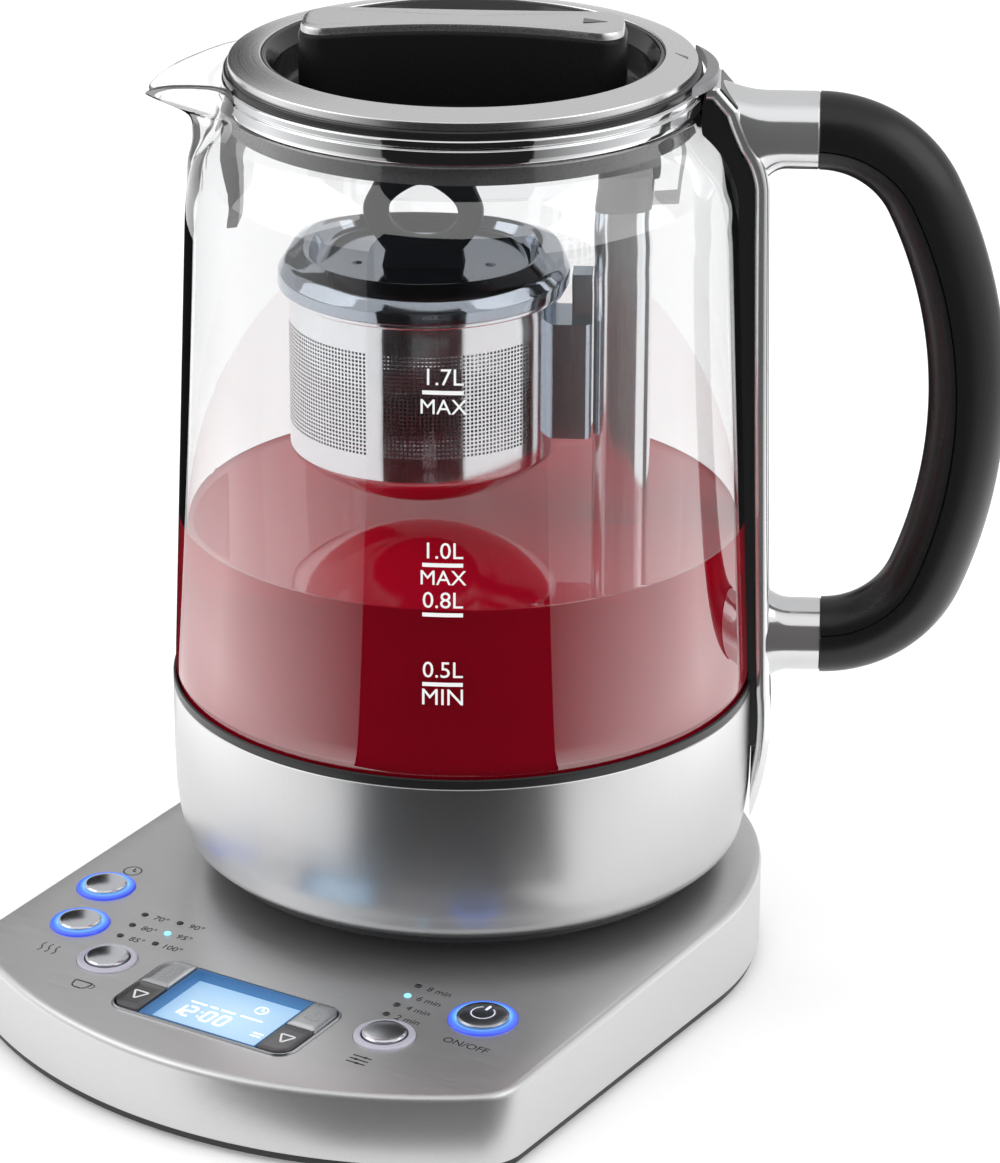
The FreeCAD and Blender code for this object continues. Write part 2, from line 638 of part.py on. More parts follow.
board_x = POWER_BOARD_X
board_y = power_board_y[0]
board_end = power_board_y[1]
power_board = box(-board_x, board_x, board_y, board_end, POWER_BOARD_Z, POWER_BOARD_Z + BOARD_T)
part_z = POWER_BOARD_Z + BOARD_T
part_top = part_z + PART_H
relay = box(8.0 - board_x, 26.0 - board_x, board_y + 4.0, board_y + 18.0, part_z, part_top)
choke = cyl(PART_H, part_z, part_top, -4.0, board_y + 14.0)
capacitor = box(8.0, 24.0, board_y + 6.0, board_y + 12.0, part_z, part_top)
terminal = box(board_x - 18.0, board_x - 4.0, board_end - 14.0, board_end - 4.0, part_z, part_top)
save("power_board", Part.makeCompound([power_board, relay, choke, capacitor, terminal]))

board_block = box(-BASE_R, BASE_R, -BASE_FRONT_Y, -DOCK_FLANGE_R - BOARD_BACK, 0, HIGH)
board_block = board_block.common(base_block(BOARD_EDGE, 0, HIGH))
control_board = board_block.cut(above_plate(BOARD_DEPTH)).common(above_plate(BOARD_DEPTH + BOARD_T))
for x, y in SCREW_POSTS:
    control_board = control_board.cut(cyl(SCREW_POST_R + 1.0, 0, HIGH, x, y))
save("control_board", control_board)

# ---------------------------------------------------------------- base: display and keys
key_hole_x = LCD_W / 2 + BEZEL_WALL
module_place = on_plate(MODULE_X, MODULE_Y)


def module_block(inset, z0, z1):
    return rounded_box(0, 0, MODULE_W - 2 * inset, MODULE_D - 2 * inset, MODULE_CORNER - inset, z0, z1)


bezel = module_block(0, -BEZEL_DEEP, BEZEL_PROUD)
bezel = bezel.cut(box(-LCD_W / 2, LCD_W / 2, -LCD_D / 2, LCD_D / 2, -10, 10))
well = module_block(BEZEL_WALL, -10, 10)
for side in (-1, 1):
    half = box(min(side * key_hole_x, side * 99), max(side * key_hole_x, side * 99), -99, 99, -10, 10)
    bezel = bezel.cut(well.common(half))
save("display_bezel", bezel, module_place)

lcd_x = LCD_W / 2 - SNUG
lcd_y = LCD_D / 2 - SNUG
save("display_window", box(-lcd_x, lcd_x, -lcd_y, lcd_y, -BEZEL_T, 0), module_place)
save("display_panel", box(-lcd_x, lcd_x, -lcd_y, lcd_y, -BOARD_DEPTH, -LCD_SINK), module_place)

SWITCH_TOP = SWITCH_H - BOARD_DEPTH
PLUNGER_TOP = SWITCH_TOP + PLUNGER_H
stem_end = PLUNGER_TOP + BUTTON_TRAVEL + RISE
key_stem_end = PLUNGER_TOP + KEY_TRAVEL + RISE
key_flange_top = -BEZEL_DEEP - RISE
key_inset = BEZEL_WALL + KEY_GAP
key_mid_x = (key_hole_x + MODULE_W / 2 - BEZEL_WALL) / 2
key_mid_y = (MODULE_D / 2 - BEZEL_WALL) / 2
KEYS = {                  # name: side, and +1 for up or -1 for down
    "left_up_key": (-1, 1),
    "left_down_key": (-1, -1),
    "right_up_key": (1, 1),
    "right_down_key": (1, -1),
}


def mirrored_box(sx, x0, x1, sy, y0, y1, z0, z1):
    xs = sorted((sx * x0, sx * x1))
    ys = sorted((sy * y0, sy * y1))
    return box(xs[0], xs[1], ys[0], ys[1], z0, z1)


def arrow_key(sx, sy):
    """Key of the display: a quarter of the frame's end, with a triangle up or down sunk in its top."""
    top = module_block(key_inset, -10, KEY_PROUD)
    key_bottom = key_flange_top - FLANGE_T
    quarter = mirrored_box(sx, key_hole_x + KEY_GAP, 99, sy, KEY_GAP / 2, 99, key_bottom, KEY_PROUD)
    body = top.common(quarter)
    ledge = mirrored_box(sx, key_mid_x, MODULE_W / 2 - BEZEL_WALL + 0.3, sy, 2.5, MODULE_D / 2 - 5.5,
                         key_flange_top - FLANGE_T, key_flange_top)
    cx, cy = sx * key_mid_x, sy * key_mid_y
    stem = cyl(KEY_STEM_R, key_stem_end, key_flange_top, cx, cy)
    low = V(cx - KEY_MARK, cy - sy * 1.3, 0)
    mark = Part.makePolygon([low, V(cx + KEY_MARK, cy - sy * 1.3, 0), V(cx, cy + sy * KEY_MARK, 0), low])
    mark = Part.Face(mark).extrude(V(0, 0, 2))
    mark.translate(V(0, 0, KEY_PROUD - 0.25))
    return joined([body, ledge, stem]).cut(mark)


for name, (sx, sy) in KEYS.items():
    save(name, arrow_key(sx, sy), module_place)

# ---------------------------------------------------------------- base: buttons, light rings and indicators
def crown_mid(r, z_edge, z_top):
    """Point half way out on a spherical crown of edge radius r, between its edge height and its top."""
    rise = z_top - z_edge
    big = (r * r + rise * rise) / (2 * rise)
    return r / 2, z_top - big + math.sqrt(big * big - r * r / 4)


rings = []
for name, (x, y, r) in CONTROLS.items():
    place = on_plate(x, y)
    edge = BUTTON_PROUD - 0.8
    flange_top = -RING_DEEP - RISE
    cap = lathe([
        (0, flange_top - FLANGE_T), (r + BUTTON_FLANGE, flange_top - FLANGE_T),
        (r + BUTTON_FLANGE, flange_top), (r, flange_top), (r, edge),
        ((r - 0.35, edge + 0.4), (r - 0.9, edge + 0.55)),
        (crown_mid(r - 0.9, edge + 0.55, BUTTON_PROUD), (0, BUTTON_PROUD)),
    ])
    stem = cyl(STEM_R, stem_end, flange_top - FLANGE_T)
    save(name, joined([cap, stem]), place)
    ring_r = r + RING_LIGHT_W
    lens = lathe([
        (r + RUN_GAP, -RING_DEEP), (ring_r, -RING_DEEP), (ring_r, 0.1),
        ((ring_r - 0.35, RING_PROUD - 0.15), (ring_r - 0.9, RING_PROUD)), (r + RUN_GAP, RING_PROUD),
    ])
    lens.Placement = place
    rings.append(lens)
save("button_light_rings", Part.makeCompound(rings))

switches = []
spots = [(x, y) for x, y, r in CONTROLS.values()]
spots += [(MODULE_X + sx * key_mid_x, MODULE_Y + sy * key_mid_y) for sx, sy in KEYS.values()]
for x, y in spots:
    block = box(-SWITCH_HALF, SWITCH_HALF, -SWITCH_HALF, SWITCH_HALF, -BOARD_DEPTH, SWITCH_TOP)
    switch = joined([block, cyl(PLUNGER_R, SWITCH_TOP, PLUNGER_TOP)])
    switch.Placement = on_plate(x, y)
    switches.append(switch)
save("tact_switches", Part.makeCompound(switches))

lamps = []
for x, y in LAMPS:
    lamp = cyl(LED_R, -BOARD_DEPTH, 0.15)
    lamp.Placement = on_plate(x, y)
    lamps.append(lamp)
save("indicator_lamps", Part.makeCompound(lamps))


# ================================================================ jug, in its own frame
# ---------------------------------------------------------------- coupler in the bottom of the jug
coupler = lathe([
    (PIN_R + RUN_GAP, 0), (SOCKET_R, 0), (SOCKET_R, SOCKET_H - SOCKET_EDGE),
    (SOCKET_R - SOCKET_EDGE, SOCKET_H), (0, SOCKET_H), (0, PIN_H + RISE), (PIN_R + RUN_GAP, PIN_H + RISE),
])
save("jug_coupler", coupler, JUG)

# ---------------------------------------------------------------- bottom: cover, band, seal, heater
cover_hole = SOCKET_R + RUN_GAP
lip_z = FOOT_H + BAND_T
cover_out_r = BAND_R - BAND_T - BAND_CURL_IN - SNUG   # the cover reaches this far over the band's inner edge
socket_step = SOCKET_H - SOCKET_EDGE
jug_bottom_cover = lathe([
    (cover_hole, 0), (FOOT_R - 0.6, 0), (FOOT_R, 0.6), (FOOT_R, lip_z), (cover_out_r, lip_z),
    (cover_out_r, lip_z + FOOT_T), (cover_hole + FOOT_T, lip_z + FOOT_T),
    (cover_hole + FOOT_T, socket_step), (cover_hole, socket_step),
])
save("jug_bottom_cover", jug_bottom_cover, JUG)


def band_shape(inset, z0, z1):
    """Solid of the steel band's outside moved inwards by inset: curled in at the foot, upright above."""
    r = BAND_R - inset
    return lathe([
        (0, z0), (r - BAND_CURL_IN, z0),
        ((r - 0.477 * BAND_CURL_IN, z0 + 2.4), (r - 0.23 * BAND_CURL_IN, z0 + 6.7)),
        ((r - 0.06 * BAND_CURL_IN, z0 + 14.2), (r, z0 + BAND_CURL_H)), (r, z1), (0, z1),
    ])


band = band_shape(0, FOOT_H, BAND_TOP)
jug_band = band.cut(band_shape(BAND_T, lip_z, BAND_TOP + 1)).cut(cyl(FOOT_R + 0.01, 0, 10))
save("jug_band", jug_band, JUG)

seal_in_r = GLASS_FOOT_R - GLASS_T - SEAL_LEDGE
glass_foot_z = SEAL_BOT + SEAL_FLOOR
glass_bell_z = BAND_TOP + 0.6
glass_start_z = SEAL_TOP + 1.1
seal_bell_r = GLASS_FOOT_R + GLASS_BELL * (SEAL_TOP - glass_bell_z) / (glass_start_z - glass_bell_z)
glass_seal = lathe([
    (seal_in_r, SEAL_BOT), (BAND_R - BAND_T, SEAL_BOT), (BAND_R - BAND_T, BAND_TOP), (BAND_R, BAND_TOP),
    (BAND_R, SEAL_TOP - 0.4), (BAND_R - 0.4, SEAL_TOP), (seal_bell_r, SEAL_TOP),
    (GLASS_FOOT_R, glass_bell_z), (GLASS_FOOT_R, glass_foot_z), (GLASS_FOOT_R - GLASS_T, glass_foot_z),
    (GLASS_FOOT_R - GLASS_T, HEATER_Z), (seal_in_r, HEATER_Z),
])
save("glass_seal", glass_seal, JUG)

heater_r = GLASS_FOOT_R - GLASS_T - SNUG
screw_pass_r = 2 * SCREW_R + 0.2   # way of the lead screw through the heater plate, inside the post
heater_plate = cyl(heater_r, HEATER_Z, HEATER_Z + HEATER_T)
heater_plate = heater_plate.cut(cyl(screw_pass_r, HEATER_Z - 1, HEATER_Z + 3, POST_X, 0))
heater_plate = heater_plate.cut(cyl(PROBE_R, HEATER_Z - 1, HEATER_Z + 3, PROBE_X, 0))
save("heater_plate", heater_plate, JUG)

element_r = POST_X + 1.2
element_z = HEATER_Z - ELEMENT_TUBE_R
tube_circle = Part.makeCircle(ELEMENT_TUBE_R, V(element_r, 0, element_z), V(0, 1, 0))
ring_section = Part.Face(Part.Wire([tube_circle]))
ring_section.rotate(V(0, 0, 0), V(0, 0, 1), ELEMENT_OPEN)
element = ring_section.revolve(V(0, 0, 0), V(0, 0, 1), 360 - 2 * ELEMENT_OPEN)
terminals = []
for turn in (ELEMENT_OPEN + 3.0, 360 - ELEMENT_OPEN - 3.0):
    x, y = polar(element_r, turn)
    terminals.append(cyl(1.6, element_z - 12.0, element_z, x, y))
save("heating_element", joined([element] + terminals), JUG)

thermo_flange = cyl(THERMO_R + 3.0, HEATER_Z - 1.2, HEATER_Z)
save("thermostat", joined([cyl(THERMO_R, HEATER_Z - THERMO_H, HEATER_Z), thermo_flange]), JUG)

probe_top = HEATER_Z + HEATER_T + PROBE_H
probe = cyl(PROBE_R, HEATER_Z - 6.0, probe_top, PROBE_X, 0)
probe = probe.makeFillet(1.8, [e for e in probe.Edges if e.BoundBox.ZMin > probe_top - 0.01])
save("temperature_probe", joined([probe, cyl(PROBE_R + 2.0, HEATER_Z - 2.0, HEATER_Z, PROBE_X, 0)]), JUG)

motor = joined([
    cyl(MOTOR_R, HEATER_Z - MOTOR_H, HEATER_Z - MOTOR_FLANGE_T, POST_X, 0),
    rounded_box(POST_X, 0, 2 * MOTOR_R + 6.0, 2 * MOTOR_R - 5.0, 4.0, HEATER_Z - MOTOR_FLANGE_T, HEATER_Z),
])
save("lift_motor", motor.cut(cyl(SCREW_R + RUN_GAP, HEATER_Z - 4.0, HEATER_Z + 1, POST_X, 0)), JUG)

# ---------------------------------------------------------------- glass
belly_r = (GLASS_SHOULDER_R + NECK_R) / 2 + SHOULDER_BELLY
belly_z = (GLASS_SHOULDER_Z + NECK_Z) / 2 + SHOULDER_BELLY + 0.4


def glass_shape(inset, foot, top):
    """Solid of the jug's outside moved inwards by inset, with the same bell, wall, shoulder and neck."""
    slant = 0.6 * inset
    return lathe([
        (0, foot), (GLASS_FOOT_R - inset, foot), (GLASS_FOOT_R - inset, glass_bell_z),
        (GLASS_BOT_R - inset, glass_start_z), (GLASS_SHOULDER_R - inset, GLASS_SHOULDER_Z),
        ((belly_r - 1.4 * slant, belly_z - slant), (NECK_R - inset, NECK_Z - slant)), (NECK_R - inset, top),
        (0, top),
    ])


def spout_shape(inset):
    """Nose of the spout: level outlines with a rounded tip, joined by straight sides."""
    root_x = SPOUT_ROOT_IN - NECK_R
    wires = []
    for over, beyond, half, tip_r in SPOUT_LEVELS:
        z = GLASS_TOP + over
        r = tip_r - inset
        cx = r + inset - NECK_R - beyond
        side_y = half - inset
        dx = root_x - cx
        a = math.atan2(side_y, dx) + math.acos(min(0.999, r / math.hypot(dx, side_y)))
        tx, ty = cx + r * math.cos(a), r * math.sin(a)
        upper, lower = V(tx, ty, z), V(tx, -ty, z)
        root, root_low = V(root_x, side_y, z), V(root_x, -side_y, z)
        deep, deep_low = V(-10, side_y, z), V(-10, -side_y, z)
        wires.append(Part.Wire([
            Part.LineSegment(deep, root).toShape(),
            Part.LineSegment(root, upper).toShape(),
            Part.Arc(upper, V(cx - r, 0, z), lower).toShape(),
            Part.LineSegment(lower, root_low).toShape(),
            Part.LineSegment(root_low, deep_low).toShape(),
            Part.LineSegment(deep_low, deep).toShape(),
        ]))
    return Part.makeLoft(wires, True, True)


glass_outer = glass_shape(0, glass_foot_z, GLASS_TOP)
rim_line = [(-NECK_R - beyond, GLASS_TOP + over) for beyond, over in SPOUT_RIM]
far_x = -2 * NECK_R
above_rim = [(far_x, rim_line[0][1])] + rim_line + [(-20.0, rim_line[-1][1]), (-20.0, 300.0), (far_x, 300.0)]
above_rim = slab(above_rim, 4 * NECK_R)
spout_outer = spout_shape(0).cut(above_rim).cut(cyl(COLLAR_R + RUN_GAP, GLASS_TOP, 300))
glass_inner = glass_shape(GLASS_T, glass_foot_z - 1, GLASS_TOP + 1)
glass_body = glass_outer.fuse(spout_outer).cut(glass_inner).cut(spout_shape(GLASS_T))
save("glass_body", glass_body, JUG)

# ---------------------------------------------------------------- collar
collar_step = COLLAR_TOP - COLLAR_LIP
collar = lathe([
    (SKIRT_R, GLASS_TOP), (COLLAR_R, GLASS_TOP), (COLLAR_R, COLLAR_TOP - COLLAR_EDGE),
    (COLLAR_R - COLLAR_EDGE, COLLAR_TOP), (SKIRT_R - 1.5, COLLAR_TOP), (SKIRT_R - 1.5, collar_step),
    (SKIRT_R, collar_step),
])
save("collar", collar, JUG)

# the skirt has a window to the spout, and a tapering tongue hangs from it behind the spout
pour_window = box(-SKIRT_R - 2, -SKIRT_R + 8, -15, 15, SKIRT_BOT + GUARD_T, GLASS_TOP + 1.5)
skirt_ring = tube(SKIRT_R, SKIRT_R - SKIRT_T, SKIRT_BOT, collar_step).cut(pour_window)
guard_tip_z = GLASS_TOP - GUARD_DROP
guard = slab([
    (-SKIRT_R, SKIRT_BOT), (SKIRT_T - SKIRT_R, SKIRT_BOT), (GUARD_T - SKIRT_R - 0.5, guard_tip_z + 14.0),
    (GUARD_T - SKIRT_R - 2.2, guard_tip_z), (-SKIRT_R - 2.2, guard_tip_z),
    (-SKIRT_R - 2.2, SKIRT_BOT - 10.0),
], GUARD_W)
wide = GUARD_W / 2
narrow = GUARD_TIP_W / 2
taper = Part.Face(Part.makePolygon([
    V(0, -wide, SKIRT_BOT), V(0, wide, SKIRT_BOT), V(0, narrow, guard_tip_z), V(0, -narrow, guard_tip_z),
    V(0, -wide, SKIRT_BOT),
])).extrude(V(far_x, 0, 0))
save("collar_skirt", joined([skirt_ring, guard.common(taper)]), JUG)

# ---------------------------------------------------------------- handle
neck_front = COLLAR_R + 0.4
slope_top = (neck_front + 3.0, GLASS_TOP + 6.4)
slope_end = (STRAP_OUT_TOP - 8.0, GLASS_TOP + 0.4)
strap_line = open_path([
    (neck_front, slope_top[1]), slope_top, slope_end,
    ((STRAP_OUT_TOP - 6.3, GLASS_TOP - 4.2), (STRAP_OUT_TOP - 4.3, GLASS_TOP - 8.6)),
    ((STRAP_OUT_TOP - 1.2, GLASS_TOP - 14.6), (STRAP_OUT_TOP, GLASS_TOP - 22.0)),
    ((STRAP_OUT_MID, (GLASS_TOP + BAND_TOP) / 2 - 11.0), (STRAP_OUT_BOT, BAND_TOP - 1.0)),
    ((STRAP_OUT_BOT - 0.4, BAND_TOP - 21.0), (STRAP_OUT_BOT - 4.0, STRAP_TAIL_Z)),
])


def along_line(z_end, depth, width):
    """Plate that follows the outer line of the strap down to z_end, with the given depth inwards."""
    face = strap_line.makeOffset2D(-depth, 2, True, True)
    if face.BoundBox.ZMax > slope_top[1] + 0.01:
        face = strap_line.makeOffset2D(depth, 2, True, True)
    solid = face.extrude(V(0, width, 0))
    solid.translate(V(0, -width / 2, 0))
    return solid.cut(box(0, 200, -50, 50, -50, z_end))


strap = along_line(0.0, STRAP_T, STRAP_W)


def along_x(r, x0, x1, z):
    return Part.makeCylinder(r, x1 - x0, V(x0, 0, z), V(1, 0, 0))


UPPER_ROOT = STRAP_OUT_TOP - 7.2       # inner ends of the sleeves, in the strap
LOWER_ROOT = STRAP_OUT_BOT - 1.9
upper_drum = along_x(SLEEVE_TOP_R, UPPER_ROOT, SLEEVE_TOP_END, SLEEVE_TOP_Z)
lower_drum = along_x(SLEEVE_BOT_R, LOWER_ROOT, SLEEVE_BOT_END, SLEEVE_BOT_Z)

# grey tongue behind the lid: a rounded plate on the bracket, its round end over the handle
tab_x = NECK_R + TAB_REACH - TAB_R
tab_low = slope_top[1]
tab_top = tab_low + TAB_H
thumb_tab = cyl(TAB_R, tab_low, tab_top, tab_x).cut(cyl(COLLAR_R + RUN_GAP, tab_low - 1, tab_top + 1))
tab_rim = [e for e in thumb_tab.Edges if e.BoundBox.ZMin > tab_top - 0.01]
tab_rim = [e for e in tab_rim if e.BoundBox.XMax > neck_front + 1]
save("thumb_tab", thumb_tab.makeFillet(0.7, tab_rim), JUG)

# dark inlay let into the slope of the bracket
slope_run = math.hypot(slope_end[0] - slope_top[0], slope_end[1] - slope_top[1])
slope_turn = math.degrees(math.atan2(slope_top[1] - slope_end[1], slope_end[0] - slope_top[0]))
inlay_l = slope_run - 1.4
inlay_y = STRAP_W / 2 - 0.6
inlay = box(0.9, 0.9 + inlay_l, -inlay_y, inlay_y, -INLAY_T, 0.15)
inlay.Placement = Placement(V(slope_top[0], 0, slope_top[1]), Rotation(V(0, 1, 0), slope_turn))
seat = box(0.9 - SNUG, 0.9 + inlay_l + SNUG, -inlay_y - SNUG, inlay_y + SNUG, -INLAY_T, 2.0)
seat.Placement = inlay.Placement
inlay = inlay.cut(along_x(SLEEVE_TOP_R + SNUG, UPPER_ROOT - 2, SLEEVE_TOP_END, SLEEVE_TOP_Z))
save("bracket_inlay", inlay, JUG)

strap = strap.cut(seat).cut(upper_drum).cut(lower_drum)
collar_room = cyl(COLLAR_R, GLASS_TOP - 8, COLLAR_TOP + 5)
strap = strap.cut(collar_room).cut(glass_outer).cut(band)
save("handle_bracket", max(strap.Solids, key=lambda solid: solid.Volume), JUG)

seal_strip = along_line(BAND_TOP - 16.0, STRAP_T + 8.0, STRAP_W - 2.0)
seal_strip = seal_strip.cut(along_line(0.0, STRAP_T, STRAP_W)).cut(glass_outer).cut(band)
for tool in (cyl(BAND_R, BAND_TOP - 1, SEAL_TOP), collar_room, upper_drum, lower_drum):
    seal_strip = seal_strip.cut(tool)
save("bracket_seal", max(seal_strip.Solids, key=lambda solid: solid.Volume), JUG)

# ---------------------------------------------------------------- grip: two bends and a bow between them
bend_top = (SLEEVE_TOP_END, SLEEVE_TOP_Z - GRIP_TOP_BEND_R)
bend_bot = (SLEEVE_BOT_END, SLEEVE_BOT_Z + GRIP_BOT_BEND_R)


def grip_arcs(offset):
    """Arcs of the handle's centre line, moved outwards by offset: upper bend, bow and lower bend."""
    turn = math.radians(GRIP_TOP_TURN)
    ux, uz = math.sin(turn), math.cos(turn)
    wx = bend_top[0] + GRIP_TOP_BEND_R * ux - bend_bot[0]
    wz = bend_top[1] + GRIP_TOP_BEND_R * uz - bend_bot[1]
    bow_r = (GRIP_BOT_BEND_R ** 2 - wx * wx - wz * wz) / (2 * (GRIP_BOT_BEND_R - wx * ux - wz * uz))
    bow = (bend_top[0] + (GRIP_TOP_BEND_R - bow_r) * ux, bend_top[1] + (GRIP_TOP_BEND_R - bow_r) * uz)
    top_end = math.pi / 2 - turn
    low_start = math.atan2(bend_bot[1] - bow[1], bend_bot[0] - bow[0])

    def at(centre, r, angle):
        return centre[0] + (r + offset) * math.cos(angle), centre[1] + (r + offset) * math.sin(angle)

    low_mid = (low_start - math.pi / 2) / 2
    return [
        (at(bend_top, GRIP_TOP_BEND_R, math.pi / 2 - turn / 2), at(bend_top, GRIP_TOP_BEND_R, top_end)),
        (at(bow, bow_r, (top_end + low_start) / 2), at(bow, bow_r, low_start)),
        (at(bend_bot, GRIP_BOT_BEND_R, low_mid), at(bend_bot, GRIP_BOT_BEND_R, -math.pi / 2)),
    ]


def handle_sweep(r, x_top, x_bot):
    points = [(x_top, SLEEVE_TOP_Z)]
    if bend_top[0] - x_top > 0.01:
        points.append((bend_top[0], SLEEVE_TOP_Z))
    points += grip_arcs(0.0)
    if bend_bot[0] - x_bot > 0.01:
        points.append((x_bot, SLEEVE_BOT_Z))
    ring = Part.Wire([Part.makeCircle(r, V(x_top, 0, SLEEVE_TOP_Z), V(1, 0, 0))])
    return open_path(points).makePipeShell([ring], True, False)


grip = handle_sweep(GRIP_R, SLEEVE_TOP_END, SLEEVE_BOT_END)
core = handle_sweep(CORE_R, UPPER_ROOT + SLEEVE_WALL, LOWER_ROOT + SLEEVE_WALL)
part_arcs = grip_arcs(-GRIP_PART)
part_top = SLEEVE_TOP_Z - GRIP_PART
inner_face = [(40.0, part_top), (bend_top[0], part_top)] + part_arcs + [(40.0, part_arcs[-1][1][1])]
inside = Part.Face(path_xz(inner_face)).extrude(V(0, 6 * GRIP_R, 0))
inside.translate(V(0, -3 * GRIP_R, 0))
grip = grip.cut(core)
save("grip_outer", grip.cut(inside), JUG)
save("grip_inner", grip.common(inside), JUG)
save("handle_core", core, JUG)

sleeves = []
for drum, r, root, end, z in (
    (upper_drum, SLEEVE_TOP_R, UPPER_ROOT, SLEEVE_TOP_END, SLEEVE_TOP_Z),
    (lower_drum, SLEEVE_BOT_R, LOWER_ROOT, SLEEVE_BOT_END, SLEEVE_BOT_Z),
):
    sleeve = drum.cut(along_x(r - SLEEVE_WALL, root + SLEEVE_WALL, end + 1, z))
    sleeves.append(sleeve.makeChamfer(0.3, [e for e in sleeve.Edges if e.BoundBox.XMin > end - 0.01]))
save("handle_sleeves", Part.makeCompound(sleeves), JUG)

# ---------------------------------------------------------------- basket lift
post_foot = HEATER_Z + HEATER_T
post_outer = rounded_box(POST_X, 0, POST_W, POST_D, POST_CORNER, post_foot, POST_TOP)
post_bore = rounded_box(POST_X, 0, POST_W - 2 * POST_T, POST_D - 2 * POST_T, POST_CORNER - POST_T, 0, 300)
save("lift_post", post_outer.cut(post_bore), JUG)

cap = rounded_box(POST_X, 0, POST_W, POST_D, POST_CORNER, POST_TOP, CAP_TOP)
cap = cap.makeFillet(1.0, [e for e in cap.Edges if e.BoundBox.ZMin > CAP_TOP - 0.01])
bore_w = POST_W - 2 * POST_T
bore_d = POST_D - 2 * POST_T
bore_corner = POST_CORNER - POST_T
cap_plug = rounded_box(POST_X, 0, bore_w, bore_d, bore_corner, POST_TOP - CAP_LAP, POST_TOP)
cap_hollow = rounded_box(
    POST_X, 0, bore_w - 2 * CAP_WALL, bore_d - 2 * CAP_WALL, bore_corner - CAP_WALL, POST_TOP - CAP_LAP - 1,
    CAP_TOP - CAP_ROOF)
lug = rounded_box(POST_X + POST_W / 2 - 1.5, 0, 5.2, 7.0, 1.4, CAP_TOP - CAP_ROOF, CAP_TOP + CAP_LUG_H)
vent = cyl(1.2, CAP_TOP - 1.6, CAP_TOP + 1, POST_X - 2.0, 0)
save("post_cap", joined([cap, cap_plug, lug]).cut(cap_hollow).cut(vent), JUG)

stay_z = POST_TOP + 1.9
stay_x = SKIRT_R - STAY_IN
stay_side = POST_X + POST_W / 2
stay = slab([
    (stay_side, stay_z), (stay_x, stay_z), (stay_x, SKIRT_BOT - STAY_T),
    (SKIRT_R - 0.4, SKIRT_BOT - STAY_T), (SKIRT_R - 0.4, SKIRT_BOT), (stay_x - STAY_T, SKIRT_BOT),
    (stay_x - STAY_T, stay_z + STAY_T), (stay_side, stay_z + STAY_T),
], STAY_W)
save("post_stay", stay, JUG)

screw_top = POST_TOP - 5.5
screw = cyl(SCREW_R, HEATER_Z - 3.8, screw_top, POST_X, 0)
flat = box(POST_X + SCREW_R - SCREW_FLAT, POST_X + SCREW_R + 1, -5, 5, screw_top - 5.0, screw_top + 1)
save("lead_screw", screw.cut(flat), JUG)

carriage_mid = (BRACKET_BOT + BRACKET_TOP) / 2
magnet_low = carriage_mid - MAGNET_H / 2
magnet_high = carriage_mid + MAGNET_H / 2
carriage = rounded_box(
    POST_X, 0, bore_w - 2 * RUN_GAP, bore_d - 2 * RUN_GAP, bore_corner - RUN_GAP, magnet_low, magnet_high)
save("magnet_carriage", carriage.cut(cyl(SCREW_R + RUN_GAP, 0, 300, POST_X, 0)), JUG)

# ---------------------------------------------------------------- basket
def dome_arc(r, drop):
    """Point on a shallow dome of edge radius r and depth drop, half way out."""
    big = (r * r + drop * drop) / (2 * drop)
    return r / 2, BASKET_BOT - drop + big - math.sqrt(big * big - r * r / 4)


in_r = BASKET_R - BASKET_T
in_drop = BASKET_DOME_H - BASKET_T
mid_out = dome_arc(BASKET_R, BASKET_DOME_H)
mid_in = dome_arc(in_r, in_drop)
basket_cup = lathe([
    (0, BASKET_DOME_Z), (mid_out, (BASKET_R, BASKET_BOT)), (BASKET_R, BASKET_TOP - BASKET_T),
    (BASKET_RIM_R, BASKET_TOP - BASKET_T), (BASKET_RIM_R, BASKET_TOP), (in_r, BASKET_TOP),
    (in_r, BASKET_BOT), (mid_in, (0, BASKET_DOME_Z + BASKET_T)),
], BASKET_X)
mesh_bot = BASKET_BOT + MESH_RISE
mesh_top = mesh_bot + MESH_H
mesh_r = BASKET_R - MESH_SINK
for a0, a1 in MESH_PANELS:
    outside = BASKET_R + 1
    edge = [(mesh_r, mesh_bot), (outside, mesh_bot), (outside, mesh_top), (mesh_r, mesh_top)]
    sector = Part.Face(path_xz(edge))
    sector.rotate(V(0, 0, 0), V(0, 0, 1), a0)
    sector = sector.revolve(V(0, 0, 0), V(0, 0, 1), a1 - a0)
    sector.translate(V(BASKET_X, 0, 0))
    basket_cup = basket_cup.cut(sector)
save("basket_cup", basket_cup, JUG)

bracket_end = POST_X - POST_W / 2 - RUN_GAP
bracket_start = BASKET_X + 0.87 * BASKET_R
bracket_mid = (bracket_end + bracket_start) / 2
bracket = rounded_box(bracket_mid, 0, bracket_end - bracket_start, BRACKET_W, 2.0, BRACKET_BOT, BRACKET_TOP)
bracket = bracket.cut(cyl(BASKET_R, 0, 300, BASKET_X, 0))
magnet_x = bracket_end - 0.8
magnet = box(magnet_x - MAGNET_T, magnet_x, -MAGNET_W / 2, MAGNET_W / 2, magnet_low, magnet_high)
tongue = box(BLID_R + BASKET_X + 0.7, bracket_end, -4.0, 4.0, BRACKET_TOP - 1.0, BASKET_TOP + 3.0)
save("basket_bracket", joined([bracket, tongue]).cut(magnet), JUG)
save("basket_magnet", magnet, JUG)

